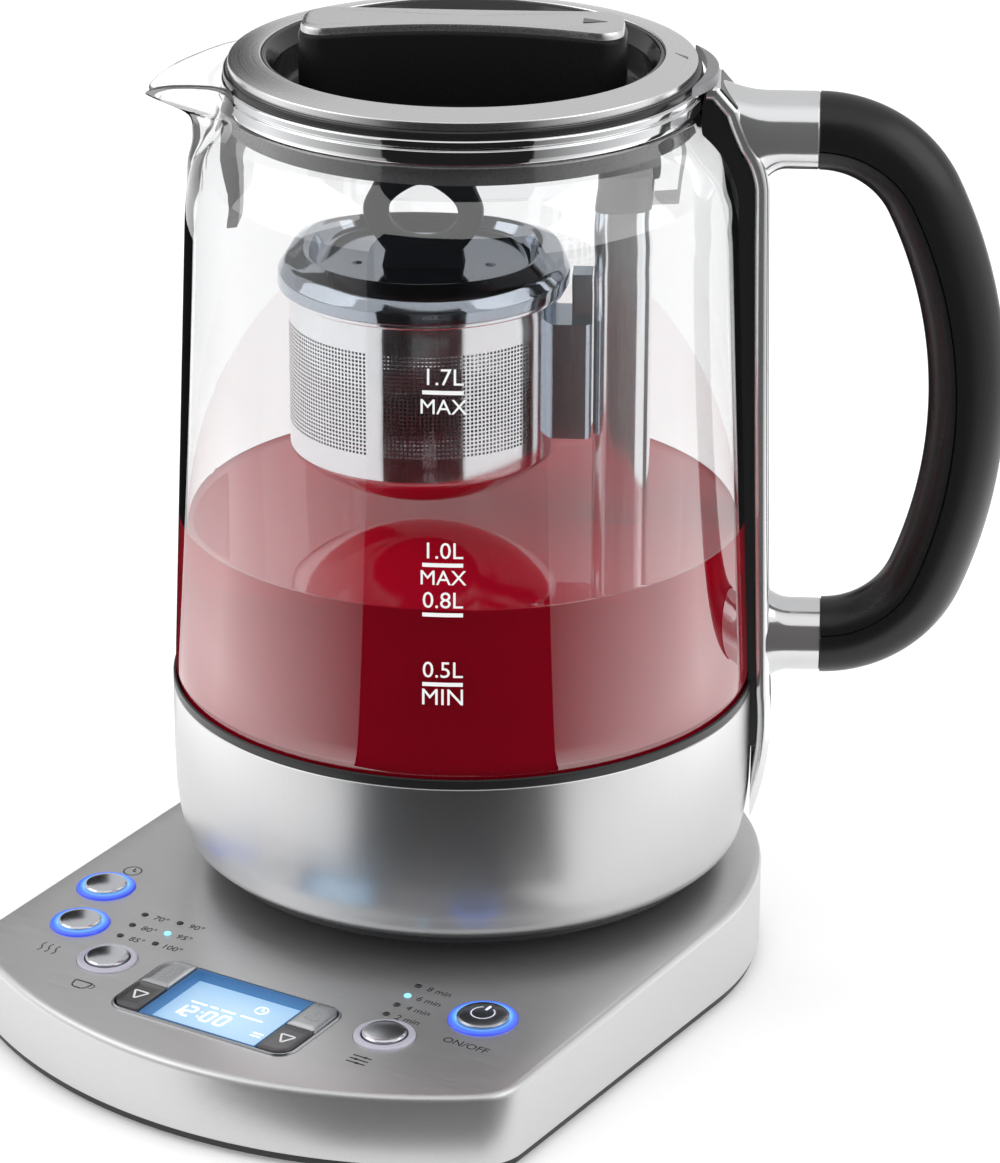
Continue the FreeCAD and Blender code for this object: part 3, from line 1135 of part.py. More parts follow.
# ---------------------------------------------------------------- basket lid
blid_plug_r = in_r - RUN_GAP
plug_in = blid_plug_r - BLID_T
basket_lid = lathe([
    (0, BLID_DISH_Z), (BLID_DISH_R - 1.6, BLID_DISH_Z), (BLID_DISH_R, BLID_TOP - 0.8),
    (BLID_DISH_R + 1.4, BLID_TOP), ((BLID_R - 1.5, BLID_TOP - 3.0), (BLID_R, BASKET_TOP + 2.0)),
    (BLID_R, BASKET_TOP), (blid_plug_r, BASKET_TOP), (blid_plug_r, BASKET_TOP - BLID_PLUG),
    (plug_in, BASKET_TOP - BLID_PLUG), (plug_in, BASKET_TOP + BLID_T),
    (BLID_R - BLID_T - 0.6, BASKET_TOP + BLID_T),
    ((BLID_R - 2.3, BLID_TOP - 3.6), (BLID_DISH_R + 1.3, BLID_TOP - BLID_T)),
    (BLID_DISH_R + 0.5, BLID_TOP - BLID_T - 0.6), (BLID_DISH_R - 1.0, BLID_DISH_Z - BLID_T),
    (0, BLID_DISH_Z - BLID_T),
], BASKET_X)
for side in (-1, 1):
    basket_lid = basket_lid.cut(cyl(VENT_R, 0, 300, BASKET_X + side * VENT_AT, 0))
save("basket_lid", basket_lid, JUG)

knob_ring = Part.makeCylinder(KNOB_R, KNOB_T, V(BASKET_X, -KNOB_T / 2, KNOB_Z), V(0, 1, 0))
knob_foot_top = BLID_DISH_Z + KNOB_FOOT_H
knob_foot = slab([
    (BASKET_X - KNOB_FOOT_W / 2, BLID_DISH_Z), (BASKET_X + KNOB_FOOT_W / 2, BLID_DISH_Z),
    (BASKET_X + KNOB_R * 0.62, knob_foot_top), (BASKET_X - KNOB_R * 0.62, knob_foot_top),
], KNOB_T)
knob = joined([knob_ring, knob_foot]).cut(box(-100, 100, -60, 60, 0, BLID_DISH_Z))
knob_hole = Part.makeCylinder(KNOB_HOLE_R, KNOB_T + 2, V(BASKET_X, -KNOB_T / 2 - 1, KNOB_Z), V(0, 1, 0))
knob = knob.cut(knob_hole)
side_edges = [e for e in knob.Edges if abs(abs(e.CenterOfMass.y) - KNOB_T / 2) < 0.01]
round_edges = [e for e in side_edges if e.Curve.TypeId == "Part::GeomCircle"]
save("basket_knob", knob.makeFillet(1.4, round_edges), JUG)

# ---------------------------------------------------------------- jug lid
flange_top = COLLAR_TOP + LID_FLANGE_T
plug_bot = COLLAR_TOP - LID_PLUG_H
gasket_low = COLLAR_TOP - GASKET_DROP
gasket_top = gasket_low + GASKET_H
gasket_in = LID_PLUG_R - GASKET_SEAT
gasket_out = LID_PLUG_R + LID_GASKET_T
ring_in_z = flange_top + RING_H_IN
ring_out_z = flange_top + RING_H_OUT
lid_body = lathe([
    (0, plug_bot), (LID_PLUG_R - 0.8, plug_bot), (LID_PLUG_R, plug_bot + 0.8), (LID_PLUG_R, gasket_low),
    (gasket_in, gasket_low), (gasket_in, gasket_top), (LID_PLUG_R, gasket_top), (LID_PLUG_R, COLLAR_TOP),
    (LID_R, COLLAR_TOP), (LID_R, flange_top - 0.4), (LID_R - 0.4, flange_top), (RING_IN_R, flange_top),
    (RING_IN_R, ring_in_z - 0.6), (RING_IN_R - 0.8, ring_in_z - 0.6), (DISH_R + 0.6, flange_top - 1.0),
    (DISH_R, DISH_FLOOR + 1.5), ((DISH_R - 0.45, DISH_FLOOR + 0.45), (DISH_R - 1.5, DISH_FLOOR)),
    (0, DISH_FLOOR),
])
save("lid_body", lid_body, JUG)
save("lid_gasket", lathe([
    (gasket_in, gasket_low), (LID_PLUG_R, gasket_low), (gasket_out, gasket_low + 1.0),
    (gasket_out, gasket_top - 1.0), (LID_PLUG_R, gasket_top), (gasket_in, gasket_top),
]), JUG)
save("lid_ring", lathe([
    (RING_IN_R, flange_top), (RING_OUT_R, flange_top), (RING_OUT_R, ring_out_z - 0.3),
    (RING_OUT_R - 0.4, ring_out_z), (RING_IN_R + 0.4, ring_in_z), (RING_IN_R, ring_in_z - 0.3),
]), JUG)


def bar_shape(inset, z0, z1):
    """Finger bar seen from above: wide rounded ends and a narrower waist."""
    end_x, end_y, waist = BAR_L / 2 - inset, BAR_END_W / 2 - inset, BAR_MID_W / 2 - inset
    c = BAR_CORNER - inset
    q = c * (1 - math.sqrt(0.5))

    def p(x, y):
        return V(x, y, z0)

    wire = Part.Wire([
        Part.LineSegment(p(end_x, -end_y + c), p(end_x, end_y - c)).toShape(),
        Part.Arc(p(end_x, end_y - c), p(end_x - q, end_y - q), p(end_x - c, end_y)).toShape(),
        Part.Arc(p(end_x - c, end_y), p(0, waist), p(-end_x + c, end_y)).toShape(),
        Part.Arc(p(-end_x + c, end_y), p(-end_x + q, end_y - q), p(-end_x, end_y - c)).toShape(),
        Part.LineSegment(p(-end_x, end_y - c), p(-end_x, -end_y + c)).toShape(),
        Part.Arc(p(-end_x, -end_y + c), p(-end_x + q, -end_y + q), p(-end_x + c, -end_y)).toShape(),
        Part.Arc(p(-end_x + c, -end_y), p(0, -waist), p(end_x - c, -end_y)).toShape(),
        Part.Arc(p(end_x - c, -end_y), p(end_x - q, -end_y + q), p(end_x, -end_y + c)).toShape(),
    ])
    return Part.Face(wire).extrude(V(0, 0, z1 - z0))


bar_hollow = bar_shape(BAR_WALL, DISH_FLOOR - 1, BAR_TOP - BAR_WALL)
save("lid_bar", bar_shape(0, DISH_FLOOR, BAR_TOP).cut(bar_hollow), JUG)
plate_top = BAR_TOP + BAR_PLATE_T
plate_edge = plate_top - BAR_CROWN
plate = bar_shape(BAR_PLATE_INSET, BAR_TOP, plate_edge)
plate = plate.fuse(bar_shape(BAR_PLATE_INSET + BAR_CROWN, plate_edge, plate_top))
save("lid_bar_plate", plate, JUG)
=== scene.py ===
import bmesh
import bpy
import math
import numpy as np
from mathutils import Matrix, Vector


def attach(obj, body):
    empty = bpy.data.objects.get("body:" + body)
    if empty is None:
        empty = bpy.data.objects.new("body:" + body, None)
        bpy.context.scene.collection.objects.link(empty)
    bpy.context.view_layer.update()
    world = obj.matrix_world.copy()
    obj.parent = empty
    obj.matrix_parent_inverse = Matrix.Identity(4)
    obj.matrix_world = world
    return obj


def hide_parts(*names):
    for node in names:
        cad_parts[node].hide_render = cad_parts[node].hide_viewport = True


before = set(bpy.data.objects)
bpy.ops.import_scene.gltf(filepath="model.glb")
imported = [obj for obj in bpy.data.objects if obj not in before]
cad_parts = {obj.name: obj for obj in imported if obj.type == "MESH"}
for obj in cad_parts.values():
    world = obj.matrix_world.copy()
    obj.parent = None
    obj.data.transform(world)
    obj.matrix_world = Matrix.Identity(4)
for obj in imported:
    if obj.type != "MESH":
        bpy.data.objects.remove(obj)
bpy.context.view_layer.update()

# -----
# Camera: a long lens, looking down past the corner of the control panel at the side of the jug.
# The frame is 1000 x 1163, so the 36 mm of the sensor lie along its height.
CAMERA_AT = (0.60374, -0.95133, 0.55948)
CAMERA_TURN = 31.91       # degrees from +Y towards -X
CAMERA_DOWN = 22.124
CAMERA_ROLL = 0.18


def linked(name, data):
    """A new object with the given data, in the scene."""
    obj = bpy.data.objects.new(name, data)
    bpy.context.collection.objects.link(obj)
    return obj


camera = linked("camera", bpy.data.cameras.new("camera"))
camera.data.sensor_width = 36.0
camera.data.lens = 144.19
camera.data.clip_start, camera.data.clip_end = 0.05, 20.0
place = Matrix.Translation(CAMERA_AT)
for angle, axis in ((CAMERA_TURN, "Z"), (90.0 - CAMERA_DOWN, "X"), (CAMERA_ROLL, "Z")):
    place = place @ Matrix.Rotation(math.radians(angle), 4, axis)
camera.matrix_world = place
bpy.context.scene.camera = camera
bpy.context.scene.view_settings.view_transform = "Standard"

# -----
# Studio: a white room with a white floor, three soft lamps, and cards round the object, seen only in
# what mirrors them: black ones give glass and steel their dark lines, bright ones their pale sides.
ROOM_WHITE = 0.95
ROOM_FAR = 0.62           # the ceiling and the wall behind the object are greyer
FLOOR_HALF = 6.0
FLOOR_PAINT = 0.86
FLOOR_GLOW = (0.22, 0.17, 0.06)         # added for rays from the camera, from gloss and through glass
CARD_R = 0.6              # where the front cards leave the floor and stand up
CARD_TOP = 0.7
CARD_BLACK = 0.015
CARD_Z = 0.0006
FRONT_TURNS = (-36.0, 32.0)             # turns of the black card in degrees from the viewer's side
FRONT_NEAR = ((-36, -27, -14, 32), (0.174, 0.161, 0.15, 0.152))     # its near edge: turns and radii
SOFT_TURNS = (0.0, 45.0, 65.0, 100.0)   # bright cards on either side: turns from the black card, and their whiteness
SOFT_WHITE = (0.4, 1.7, 2.3, 1.2)
SOFT_FAR = 0.45           # their whiteness further out, as a share of that near the object
FLOOR_WHITE = 1.5
CLOTH_TURNS = (140.0, 220.0)            # black cloth on the floor behind, which darkens the edges of glass and steel
BACK_TURNS = (189.0, 212.0)             # a black card further back


def emptied(owner):
    """The node tree of a material or world, cleared."""
    owner.use_nodes = True
    owner.node_tree.nodes.clear()
    return owner.node_tree


def wire(tree, kind, out=0, **inputs):
    """Adds a shader node and gives back its output `out`. `_name` sets a property, `iN` is input N, any other name is
    a socket; a socket given as value is linked."""
    node = tree.nodes.new("ShaderNode" + kind)
    for key, value in inputs.items():
        if key[0] == "_":
            setattr(node, key[1:], value)
            continue
        numbered = key[0] == "i" and key[1:].isdigit()
        socket = node.inputs[int(key[1:]) if numbered else key.replace("__", " ")]
        if isinstance(value, bpy.types.NodeSocket):
            tree.links.new(value, socket)
        else:
            socket.default_value = value
    return node.outputs[out] if len(node.outputs) else None


world = bpy.data.worlds.new("studio")
bpy.context.scene.world = world
room = emptied(world)
towards_viewer = (math.sin(math.radians(CAMERA_TURN)), -math.cos(math.radians(CAMERA_TURN)), 0.0)
direction = wire(room, "TexCoord", "Generated")
nearer = wire(room, "VectorMath", "Value", _operation="DOT_PRODUCT", i0=direction, i1=towards_viewer)
overhead = wire(room, "MapRange", Value=nearer, From__Min=-0.1, From__Max=0.3, To__Min=ROOM_FAR, To__Max=ROOM_WHITE)
seen = wire(room, "LightPath", "Is Camera Ray")
light = wire(room, "Mix", _data_type="FLOAT", Factor=seen, A=overhead, B=1.0)
wire(room, "OutputWorld", Surface=wire(room, "Background", Color=(1, 1, 1, 1), Strength=light))

floor_mesh = bpy.data.meshes.new("floor")
corners = [(x * FLOOR_HALF, y * FLOOR_HALF, 0.0) for x, y in ((-1, -1), (1, -1), (1, 1), (-1, 1))]
floor_mesh.from_pydata(corners, [], [(0, 1, 2, 3)])
floor_paint = bpy.data.materials.new("floor_paint")
paint = emptied(floor_paint)
rays = wire(paint, "LightPath").node.outputs
glow = 0.0
for ray, share in zip(("Is Camera Ray", "Is Glossy Ray", "Is Transmission Ray"), FLOOR_GLOW):
    glow = wire(paint, "Math", _operation="MULTIPLY_ADD", i0=rays[ray], i1=share, i2=glow)
matte = wire(paint, "BsdfDiffuse", Color=(FLOOR_PAINT, FLOOR_PAINT, FLOOR_PAINT, 1))
glow = wire(paint, "Emission", Color=(1, 1, 1, 1), Strength=glow)
wire(paint, "OutputMaterial", Surface=wire(paint, "AddShader", i0=matte, i1=glow))
floor_mesh.materials.append(floor_paint)
linked("floor", floor_mesh)

card_paint = bpy.data.materials.new("card_paint")
tree = emptied(card_paint)
white = wire(tree, "Attribute", "Fac", _attribute_name="white")
wire(tree, "OutputMaterial", Surface=wire(tree, "Emission", Color=(1, 1, 1, 1), Strength=white))


def attribute(mesh, name, values):
    """Gives each corner of a mesh a number."""
    mesh.attributes.new(name, "FLOAT", "POINT").data.foreach_set("value", np.asarray(values, np.float32))


def at_height(line, z):
    """Points (x, y) of a line at a height, or each at its own height."""
    return np.column_stack([line, np.broadcast_to(z, len(line))])


def card(name, turns, lines, in_glass=True):
    """A card round the object: lines at (radius, height, whiteness) over turns in degrees from the viewer's side. It
    is seen only by what mirrors it, and with `in_glass` by what stands inside the glass."""
    a = np.radians(turns + CAMERA_TURN - 90.0)
    count = len(a)
    corners = [at_height(np.column_stack([r * np.cos(a), r * np.sin(a)]), z) for r, z, _ in lines]
    sheets = [(i + row, i + row + 1, i + row + 1 + count, i + row + count)
              for row in range(0, count * (len(lines) - 1), count) for i in range(count - 1)]
    mesh = bpy.data.meshes.new(name)
    mesh.from_pydata(np.concatenate(corners).tolist(), [], sheets)
    attribute(mesh, "white", np.concatenate([np.broadcast_to(w, count) for _, _, w in lines]))
    mesh.materials.append(card_paint)
    obj = linked(name, mesh)
    obj.visible_camera = obj.visible_diffuse = obj.visible_shadow = False
    obj.visible_transmission = in_glass


turns = np.linspace(*FRONT_TURNS, 25)
card("card_front", turns, [(r, z, CARD_BLACK) for r, z in (
    (np.interp(turns, *FRONT_NEAR), CARD_Z), (CARD_R, CARD_Z), (CARD_R, CARD_TOP))])
turns = np.linspace(SOFT_TURNS[0], SOFT_TURNS[-1], 33)
soft = np.interp(turns, SOFT_TURNS, SOFT_WHITE)
for name, side in (("card_left", FRONT_TURNS[0] - turns), ("card_right", FRONT_TURNS[1] + turns)):
    card(name, side, [(0.2, CARD_Z, FLOOR_WHITE), (0.3, CARD_Z, soft), (CARD_R, CARD_Z, soft * SOFT_FAR),
                      (CARD_R, 0.3, soft * SOFT_FAR)], in_glass=False)
card("card_cloth", np.linspace(*CLOTH_TURNS, 17), [(r, 0.0008, CARD_BLACK) for r in (0.09, 0.7)], in_glass=False)
card("card_back", np.linspace(*BACK_TURNS, 9), [(1.4, z, CARD_BLACK) for z in (0.3, 0.95)])

for name, at, size, power in (("lamp_left", (-1.4, -0.9, 1.2), 1.6, 9.0), ("lamp_right", (1.6, 0.5, 1.1), 1.6, 8.0),
                              ("lamp_top", (0.0, 0.3, 1.8), 1.2, 8.0)):
    lamp = linked(name, bpy.data.lights.new(name, "AREA"))
    lamp.data.shape = "SQUARE"
    lamp.data.size, lamp.data.energy = size, power
    lamp.location = at
    lamp.rotation_mode = "QUATERNION"
    lamp.rotation_quaternion = (Vector((0, 0, 0.14)) - Vector(at)).to_track_quat("-Z", "Y")
lamp.visible_glossy = False             # the lamp overhead gives no glint

# -----
# Underside of the base: a black moulded cover on six rubber feet, held by five screws, with the two
# circuit boards, their switches, the dock's fixings and the bush of the mains lead.
MM = 0.001


def finish(name, colour, roughness, metallic=0.0, **sockets):
    """A material with one Principled shader: colour, roughness and metal, and any other socket by its name."""
    material = bpy.data.materials.new(name)
    material.use_nodes = True
    shader = material.node_tree.nodes["Principled BSDF"]
    shader.inputs["Base Color"].default_value = (*colour, 1.0)
    shader.inputs["Roughness"].default_value = roughness
    shader.inputs["Metallic"].default_value = metallic
    for key, value in sockets.items():
        shader.inputs[key.replace("__", " ")].default_value = value
    return material, shader


def grained(name, colour, roughness, grain, tint=0.08, unevenness=0.06, relief=0.05, lathe=False, **more):
    """A finish broken up by fine noise on object coordinates, `grain` mm long along X, Y and Z, or the same all ways.
    The noise shifts the colour by the share `tint`, the roughness by `unevenness`, and raises a bump of `relief` mm.
    With `lathe` the noise is a function of radius and height, as on a piece spun in a lathe."""
    material, shader = finish(name, colour, roughness, **more)
    tree = material.node_tree
    at = wire(tree, "TexCoord", "Object")
    if lathe:
        flat = wire(tree, "VectorMath", _operation="MULTIPLY", i0=at, i1=(1.0, 1.0, 0.0))
        radius = wire(tree, "VectorMath", "Value", _operation="LENGTH", i0=flat)
        at = wire(tree, "CombineXYZ", X=radius, Z=wire(tree, "SeparateXYZ", "Z", Vector=at))
    scale = tuple(np.broadcast_to(1.0 / (np.array(grain) * MM), 3))
    at = wire(tree, "VectorMath", _operation="MULTIPLY", i0=at, i1=scale)
    noise = wire(tree, "TexNoise", "Fac", Vector=at, Scale=1.0, Detail=3.0, Roughness=0.6)
    dark, pale = ((*(min(1.0, c * k) for c in colour), 1.0) for k in (1 - tint, 1 + tint))
    shade = wire(tree, "Mix", 2, _data_type="RGBA", i0=noise, i6=dark, i7=pale)
    tree.links.new(shade, shader.inputs["Base Color"])
    rough = wire(tree, "MapRange", Value=noise, From__Min=0.3, From__Max=0.7, To__Min=max(0.0, roughness - unevenness),
                 To__Max=roughness + unevenness)
    tree.links.new(rough, shader.inputs["Roughness"])
    if relief:
        bump = wire(tree, "Bump", Strength=1.0, Distance=relief * MM, Height=noise)
        tree.links.new(bump, shader.inputs["Normal"])
    return material


def dress(material, *names):
    """Gives CAD nodes a finish through their objects' material slots."""
    for name in names:
        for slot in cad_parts[name].material_slots:
            slot.material = material


black_moulding = grained("black_moulding", (0.02, 0.02, 0.022), 0.42, 0.4, relief=0.01)
zinc = grained("zinc", (0.5, 0.5, 0.52), 0.35, 0.3, metallic=1.0)
dress(black_moulding, "base_bottom_cover", "cable_outlet", "dock_seat", "dock_connector")
dress(grained("foot_rubber", (0.025, 0.025, 0.025), 0.75, 0.5, relief=0.02), "base_feet")
dress(zinc, "base_screws")
dress(grained("solder_resist", (0.03, 0.2, 0.08), 0.4, 1.5, tint=0.3), "power_board", "control_board")
dress(grained("switch_black", (0.03, 0.03, 0.03), 0.5, 0.4), "tact_switches")
dress(grained("brass", (0.75, 0.52, 0.2), 0.25, 0.3, metallic=1.0), "dock_contacts")

# -----
# Base cover: stainless sheet, deep drawn, its plate brushed from side to side, with a soft rounded
# edge. It has openings for the dock, the display, the five buttons and the indicator lamps.
BASE_R = 81.3
BASE_ARC_Y = -3.6
BASE_FRONT_Y = 136.5
FRONT_BOW_R = 132.0
FRONT_CORNER_R = 14.0
SKIRT_BOTTOM = 3.5
STEEL_T = 1.2
PLATE_Z = 25.7
PLATE_SLOPE = math.radians(1.6)
PLATE_EDGE_R = 2.0
DOCK_R = 54.1
PUNCH = (-9, 4)           # heights between which the openings are punched
CONTROLS = {              # name: x, y and radius of the cap
    "auto_start_button": (-67.3, -69.0, 5.6),
    "keep_warm_button": (-61.0, -88.8, 5.6),
    "tea_button": (-43.0, -101.4, 5.6),
    "custom_button": (39.6, -98.6, 5.6),
    "power_button": (56.0, -79.0, 6.6),
}
RING_W = 2.2
LED_R = 0.9
LEDS = (                  # place of each indicator lamp, whether it is lit, and what is printed beside it
    (-49.2, -76.6, False, "70°"), (-48.6, -82.9, False, "80°"), (-47.9, -89.2, False, "85°"),
    (-38.6, -75.8, False, "90°"), (-38.1, -82.0, True, "95°"), (-37.5, -88.2, False, "100°"),
    (32.9, -72.9, False, "8 min"), (33.3, -78.4, True, "6 min"), (33.6, -83.8, False, "4 min"),
    (33.9, -89.1, False, "2 min"),
)
DISPLAY_AT = (-2.0, -107.2)
DISPLAY_W = 55.0
DISPLAY_D = 28.0
DISPLAY_CORNER = 5.0


def quads(rows, columns, around, along, first):
    """Faces of a grid of points, numbered row by row from `first`, closed around the rows or along them if asked."""
    i, j = np.meshgrid(np.arange(rows - (not around)), np.arange(columns - (not along)), indexing="ij")
    k, m = (i + 1) % rows, (j + 1) % columns
    return np.stack([i * columns + j, k * columns + j, k * columns + m, i * columns + m], -1).reshape(-1, 4) + first


def smooth(mesh, sharp):
    """Shades a mesh smooth up to the sharp angle, in degrees."""
    mesh.polygons.foreach_set("use_smooth", np.ones(len(mesh.polygons), bool))
    mesh.set_sharp_from_angle(angle=math.radians(sharp))


def piece(mesh, material, body, slot, stands_for=(), sharp=32.0):
    """A piece from a mesh: doubles merged, faces turned outwards, shaded smooth. It rides on a body, takes the finish
    it is given and may stand for CAD nodes. Its slot is not used."""
    work = bmesh.new()
    work.from_mesh(mesh)
    bmesh.ops.remove_doubles(work, verts=work.verts, dist=1e-6)
    bmesh.ops.recalc_face_normals(work, faces=work.faces)
    work.to_mesh(mesh)
    work.free()
    smooth(mesh, sharp)
    mesh.materials.clear()
    mesh.materials.append(material)
    obj = linked(mesh.name, mesh)
    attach(obj, body)
    if stands_for:
        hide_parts(*stands_for)
    return obj


def shape(name, grids, *about, **more):
    """A piece from one grid or a list of grids of points in metres. A bare array is closed around its rows; a tuple is
    (points, around, along) and says which ways its grid is closed."""
    corners, faces, count = [], [], 0
    for grid in grids if isinstance(grids, list) else [grids]:
        points, around, along = grid if isinstance(grid, tuple) else (grid, True, False)
        rows, columns = points.shape[:2]
        faces.append(quads(rows, columns, around, along, count))
        corners.append(points.reshape(-1, 3))
        count += rows * columns
    mesh = bpy.data.meshes.new(name)
    mesh.from_pydata(np.concatenate(corners).tolist(), [], np.concatenate(faces).tolist())
    return piece(mesh, *about, **more)


def looped(points):
    """A grid that is closed both ways, as a ring is."""
    return points, True, True


def arc(cx, cy, r, a0, a1, steps):
    """Points on a circle of radius r about (cx, cy), from angle a0 to a1 in degrees."""
    a = np.radians(np.linspace(a0, a1, steps))
    return np.stack([cx + r * np.cos(a), cy + r * np.sin(a)], -1)


def base_outline(inset):
    """Outline of the base moved inwards: round back, straight sides, small front corners and a bowed front."""
    r, corner, bow = BASE_R - inset, FRONT_CORNER_R - inset, FRONT_BOW_R - inset
    bow_y = FRONT_BOW_R - BASE_FRONT_Y
    cx = r - corner
    cy = bow_y - math.sqrt((bow - corner) ** 2 - cx ** 2)
    meet = math.degrees(math.atan2(cy - bow_y, cx))
    side = np.linspace(BASE_ARC_Y, cy, 26)[1:-1]
    return np.concatenate([
        arc(0, BASE_ARC_Y, r, 0, 180, 121), np.stack([np.full_like(side, -r), side], -1),
        arc(-cx, cy, corner, 180, 180 - meet, 17)[:-1], arc(0, bow_y, bow, 180 - meet, 360 + meet, 90),
        arc(cx, cy, corner, meet, 0, 17)[1:], np.stack([np.full_like(side, r), side[::-1]], -1)])


def plate_height(y):
    """Height of the plate: it falls evenly towards the front."""
    return PLATE_Z + math.tan(PLATE_SLOPE) * y


def cover_row(inset, below_plate=None, z=None):
    """One line round the cover, at an inset from the outline, at a height or a depth below the plate."""
    line = base_outline(inset)
    return at_height(line, plate_height(line[:, 1]) - below_plate if z is None else z)


def plate_rows(inset, below_plate, steps):
    """Lines from an inset of the outline to the dock's opening, straight towards the jug's axis."""
    outer = base_outline(inset)
    hole = outer * (DOCK_R / np.linalg.norm(outer, axis=1))[:, None]
    lines = [outer + (hole - outer) * t for t in np.linspace(0, 1, steps)]
    return [at_height(line, plate_height(line[:, 1]) - below_plate) for line in lines]


def on_plate(x, y, points):
    """Points of a control's own frame, in mm: its origin on the plate at x, y and its Z along the plate's normal."""
    c, s = math.cos(PLATE_SLOPE), math.sin(PLATE_SLOPE)
    px, py, pz = np.moveaxis(np.asarray(points, float), -1, 0)
    return np.stack([x + px, y + c * py - s * pz, plate_height(y) + s * py + c * pz], -1) * MM


def turned_at(profile, angles):
    """A profile of (r, z) points carried round the Z axis: (r cos a, r sin a, z) for every angle a."""
    a = angles[:, None]
    r, z = np.asarray(profile, float).T
    return np.stack([np.cos(a) * r, np.sin(a) * r, np.broadcast_to(z, (len(angles), len(z)))], -1)


def turned(profile, steps):
    """A profile carried all the way round, in even steps."""
    return turned_at(profile, np.linspace(0, 2 * np.pi, steps, endpoint=False))


def eased(corners, closed=True, steps=6):
    """A line through corners (x, y, radius), each rounded by an arc of its radius, no further than half way along."""
    line, count = [], len(corners)
    for i, (x, y, r) in enumerate(corners):
        here = np.array((x, y), float)
        if r <= 0 or (not closed and i in (0, count - 1)):
            line.append(here[None])
            continue
        before = np.array(corners[i - 1][:2], float) - here
        after = np.array(corners[(i + 1) % count][:2], float) - here
        reach_max = 0.49 * min(np.linalg.norm(before), np.linalg.norm(after))
        a, b = before / np.linalg.norm(before), after / np.linalg.norm(after)
        half = math.acos(np.clip(a @ b, -1, 1)) / 2
        reach = min(r / math.tan(half), reach_max)
        r = reach * math.tan(half)
        middle = here + (a + b) / np.linalg.norm(a + b) * r / math.sin(half)
        u, v = (here + a * reach - middle) / r, (here + b * reach - middle) / r
        total = math.acos(np.clip(u @ v, -1, 1))
        t = np.linspace(0, 1, steps + 1)[:, None]
        line.append(middle + r * (np.sin((1 - t) * total) * u + np.sin(t * total) * v) / math.sin(total))
    return np.concatenate(line)


def rounded(width, depth, corner, steps=6):
    """Outline of a rectangle of width by depth with rounded corners, about its middle."""
    w, d = width / 2, depth / 2
    return eased([(w, -d, corner), (w, d, corner), (-w, d, corner), (-w, -d, corner)], steps=steps)


def capped(rows):
    """Rows of points with a row more at either end, which closes them by the middle of the row next to it."""
    middles = np.broadcast_to(np.mean(rows, 1, keepdims=True), np.shape(rows))
    return np.concatenate([middles[:1], rows, middles[-1:]])


def standing(outline, *levels):
    """An outline raised through levels (share of its width, share of its depth, z), or bare heights z at full size,
    and closed at both ends by its middle."""
    middle = outline.mean(0)
    levels = [level if isinstance(level, tuple) else (1, 1, level) for level in levels]
    return capped([at_height(middle + (outline - middle) * level[:2], level[2]) for level in levels]).swapaxes(0, 1)


def punched(obj, tool, sharp=32.0):
    """Takes the tool's solid out of an object and removes the tool."""
    cut = obj.modifiers.new("cut", "BOOLEAN")
    cut.operation = "DIFFERENCE"
    cut.solver = "EXACT"
    cut.object = tool
    bpy.context.view_layer.update()
    done = bpy.data.meshes.new_from_object(obj.evaluated_get(bpy.context.evaluated_depsgraph_get()))
    obj.modifiers.remove(cut)
    done.name = obj.name
    obj.data = done
    smooth(done, sharp)
    bpy.data.objects.remove(tool)


plate_steel = grained("plate_steel", (0.69, 0.69, 0.695), 0.37, (14.0, 0.22, 0.22), tint=0.1, unevenness=0.07,
                      relief=0.007, metallic=0.85)
bend = np.radians(np.linspace(0, 90, 9))[:-1]
cover_rows = [cover_row(STEEL_T, z=SKIRT_BOTTOM), cover_row(0.25, z=SKIRT_BOTTOM), cover_row(0, z=SKIRT_BOTTOM + 0.25)]
cover_rows += [cover_row(PLATE_EDGE_R * (1 - math.cos(b)), PLATE_EDGE_R * (1 - math.sin(b))) for b in bend]
cover_rows += plate_rows(PLATE_EDGE_R, 0.0, 8) + plate_rows(PLATE_EDGE_R, STEEL_T, 8)[::-1]
cover_rows += [cover_row(STEEL_T, PLATE_EDGE_R)]
cover = shape("base_cover_steel", looped(np.stack(cover_rows, 1) * MM), plate_steel, "base", "brushed_steel",
              ["base_top_cover"])
circle = arc(0, 0, 1.0, 0, 360, 49)[:-1]
opening = rounded(DISPLAY_W + 0.2, DISPLAY_D + 0.2, DISPLAY_CORNER)
holes = [on_plate(*DISPLAY_AT, standing(opening, *PUNCH))]
holes += [on_plate(x, y, standing(circle * (r + RING_W + 0.1), *PUNCH)) for x, y, r in CONTROLS.values()]
holes += [on_plate(x, y, standing(circle[::3] * (LED_R + 0.1), *PUNCH)) for x, y, _, _ in LEDS]
punched(cover, shape("punch", holes, plate_steel, "base", "brushed_steel"))

# -----
# Buttons: domed caps of bright metal, each in a clear moulded ring. The rings of auto start, keep warm
# and on/off are lit blue from below.
RING_PROUD = 0.7
RING_GAP = 0.35           # between a cap and its ring
RING_COLOURS = ((0.0, (0.24, 0.6, 1.0)), (0.5, (0.07, 0.22, 0.95)), (1.0, (0.03, 0.05, 0.62)))   # from its inner edge
BUTTON_PROUD = 1.9
FLANGE_Z = -3.4
LIT_BUTTONS = ("auto_start_button", "keep_warm_button", "power_button")


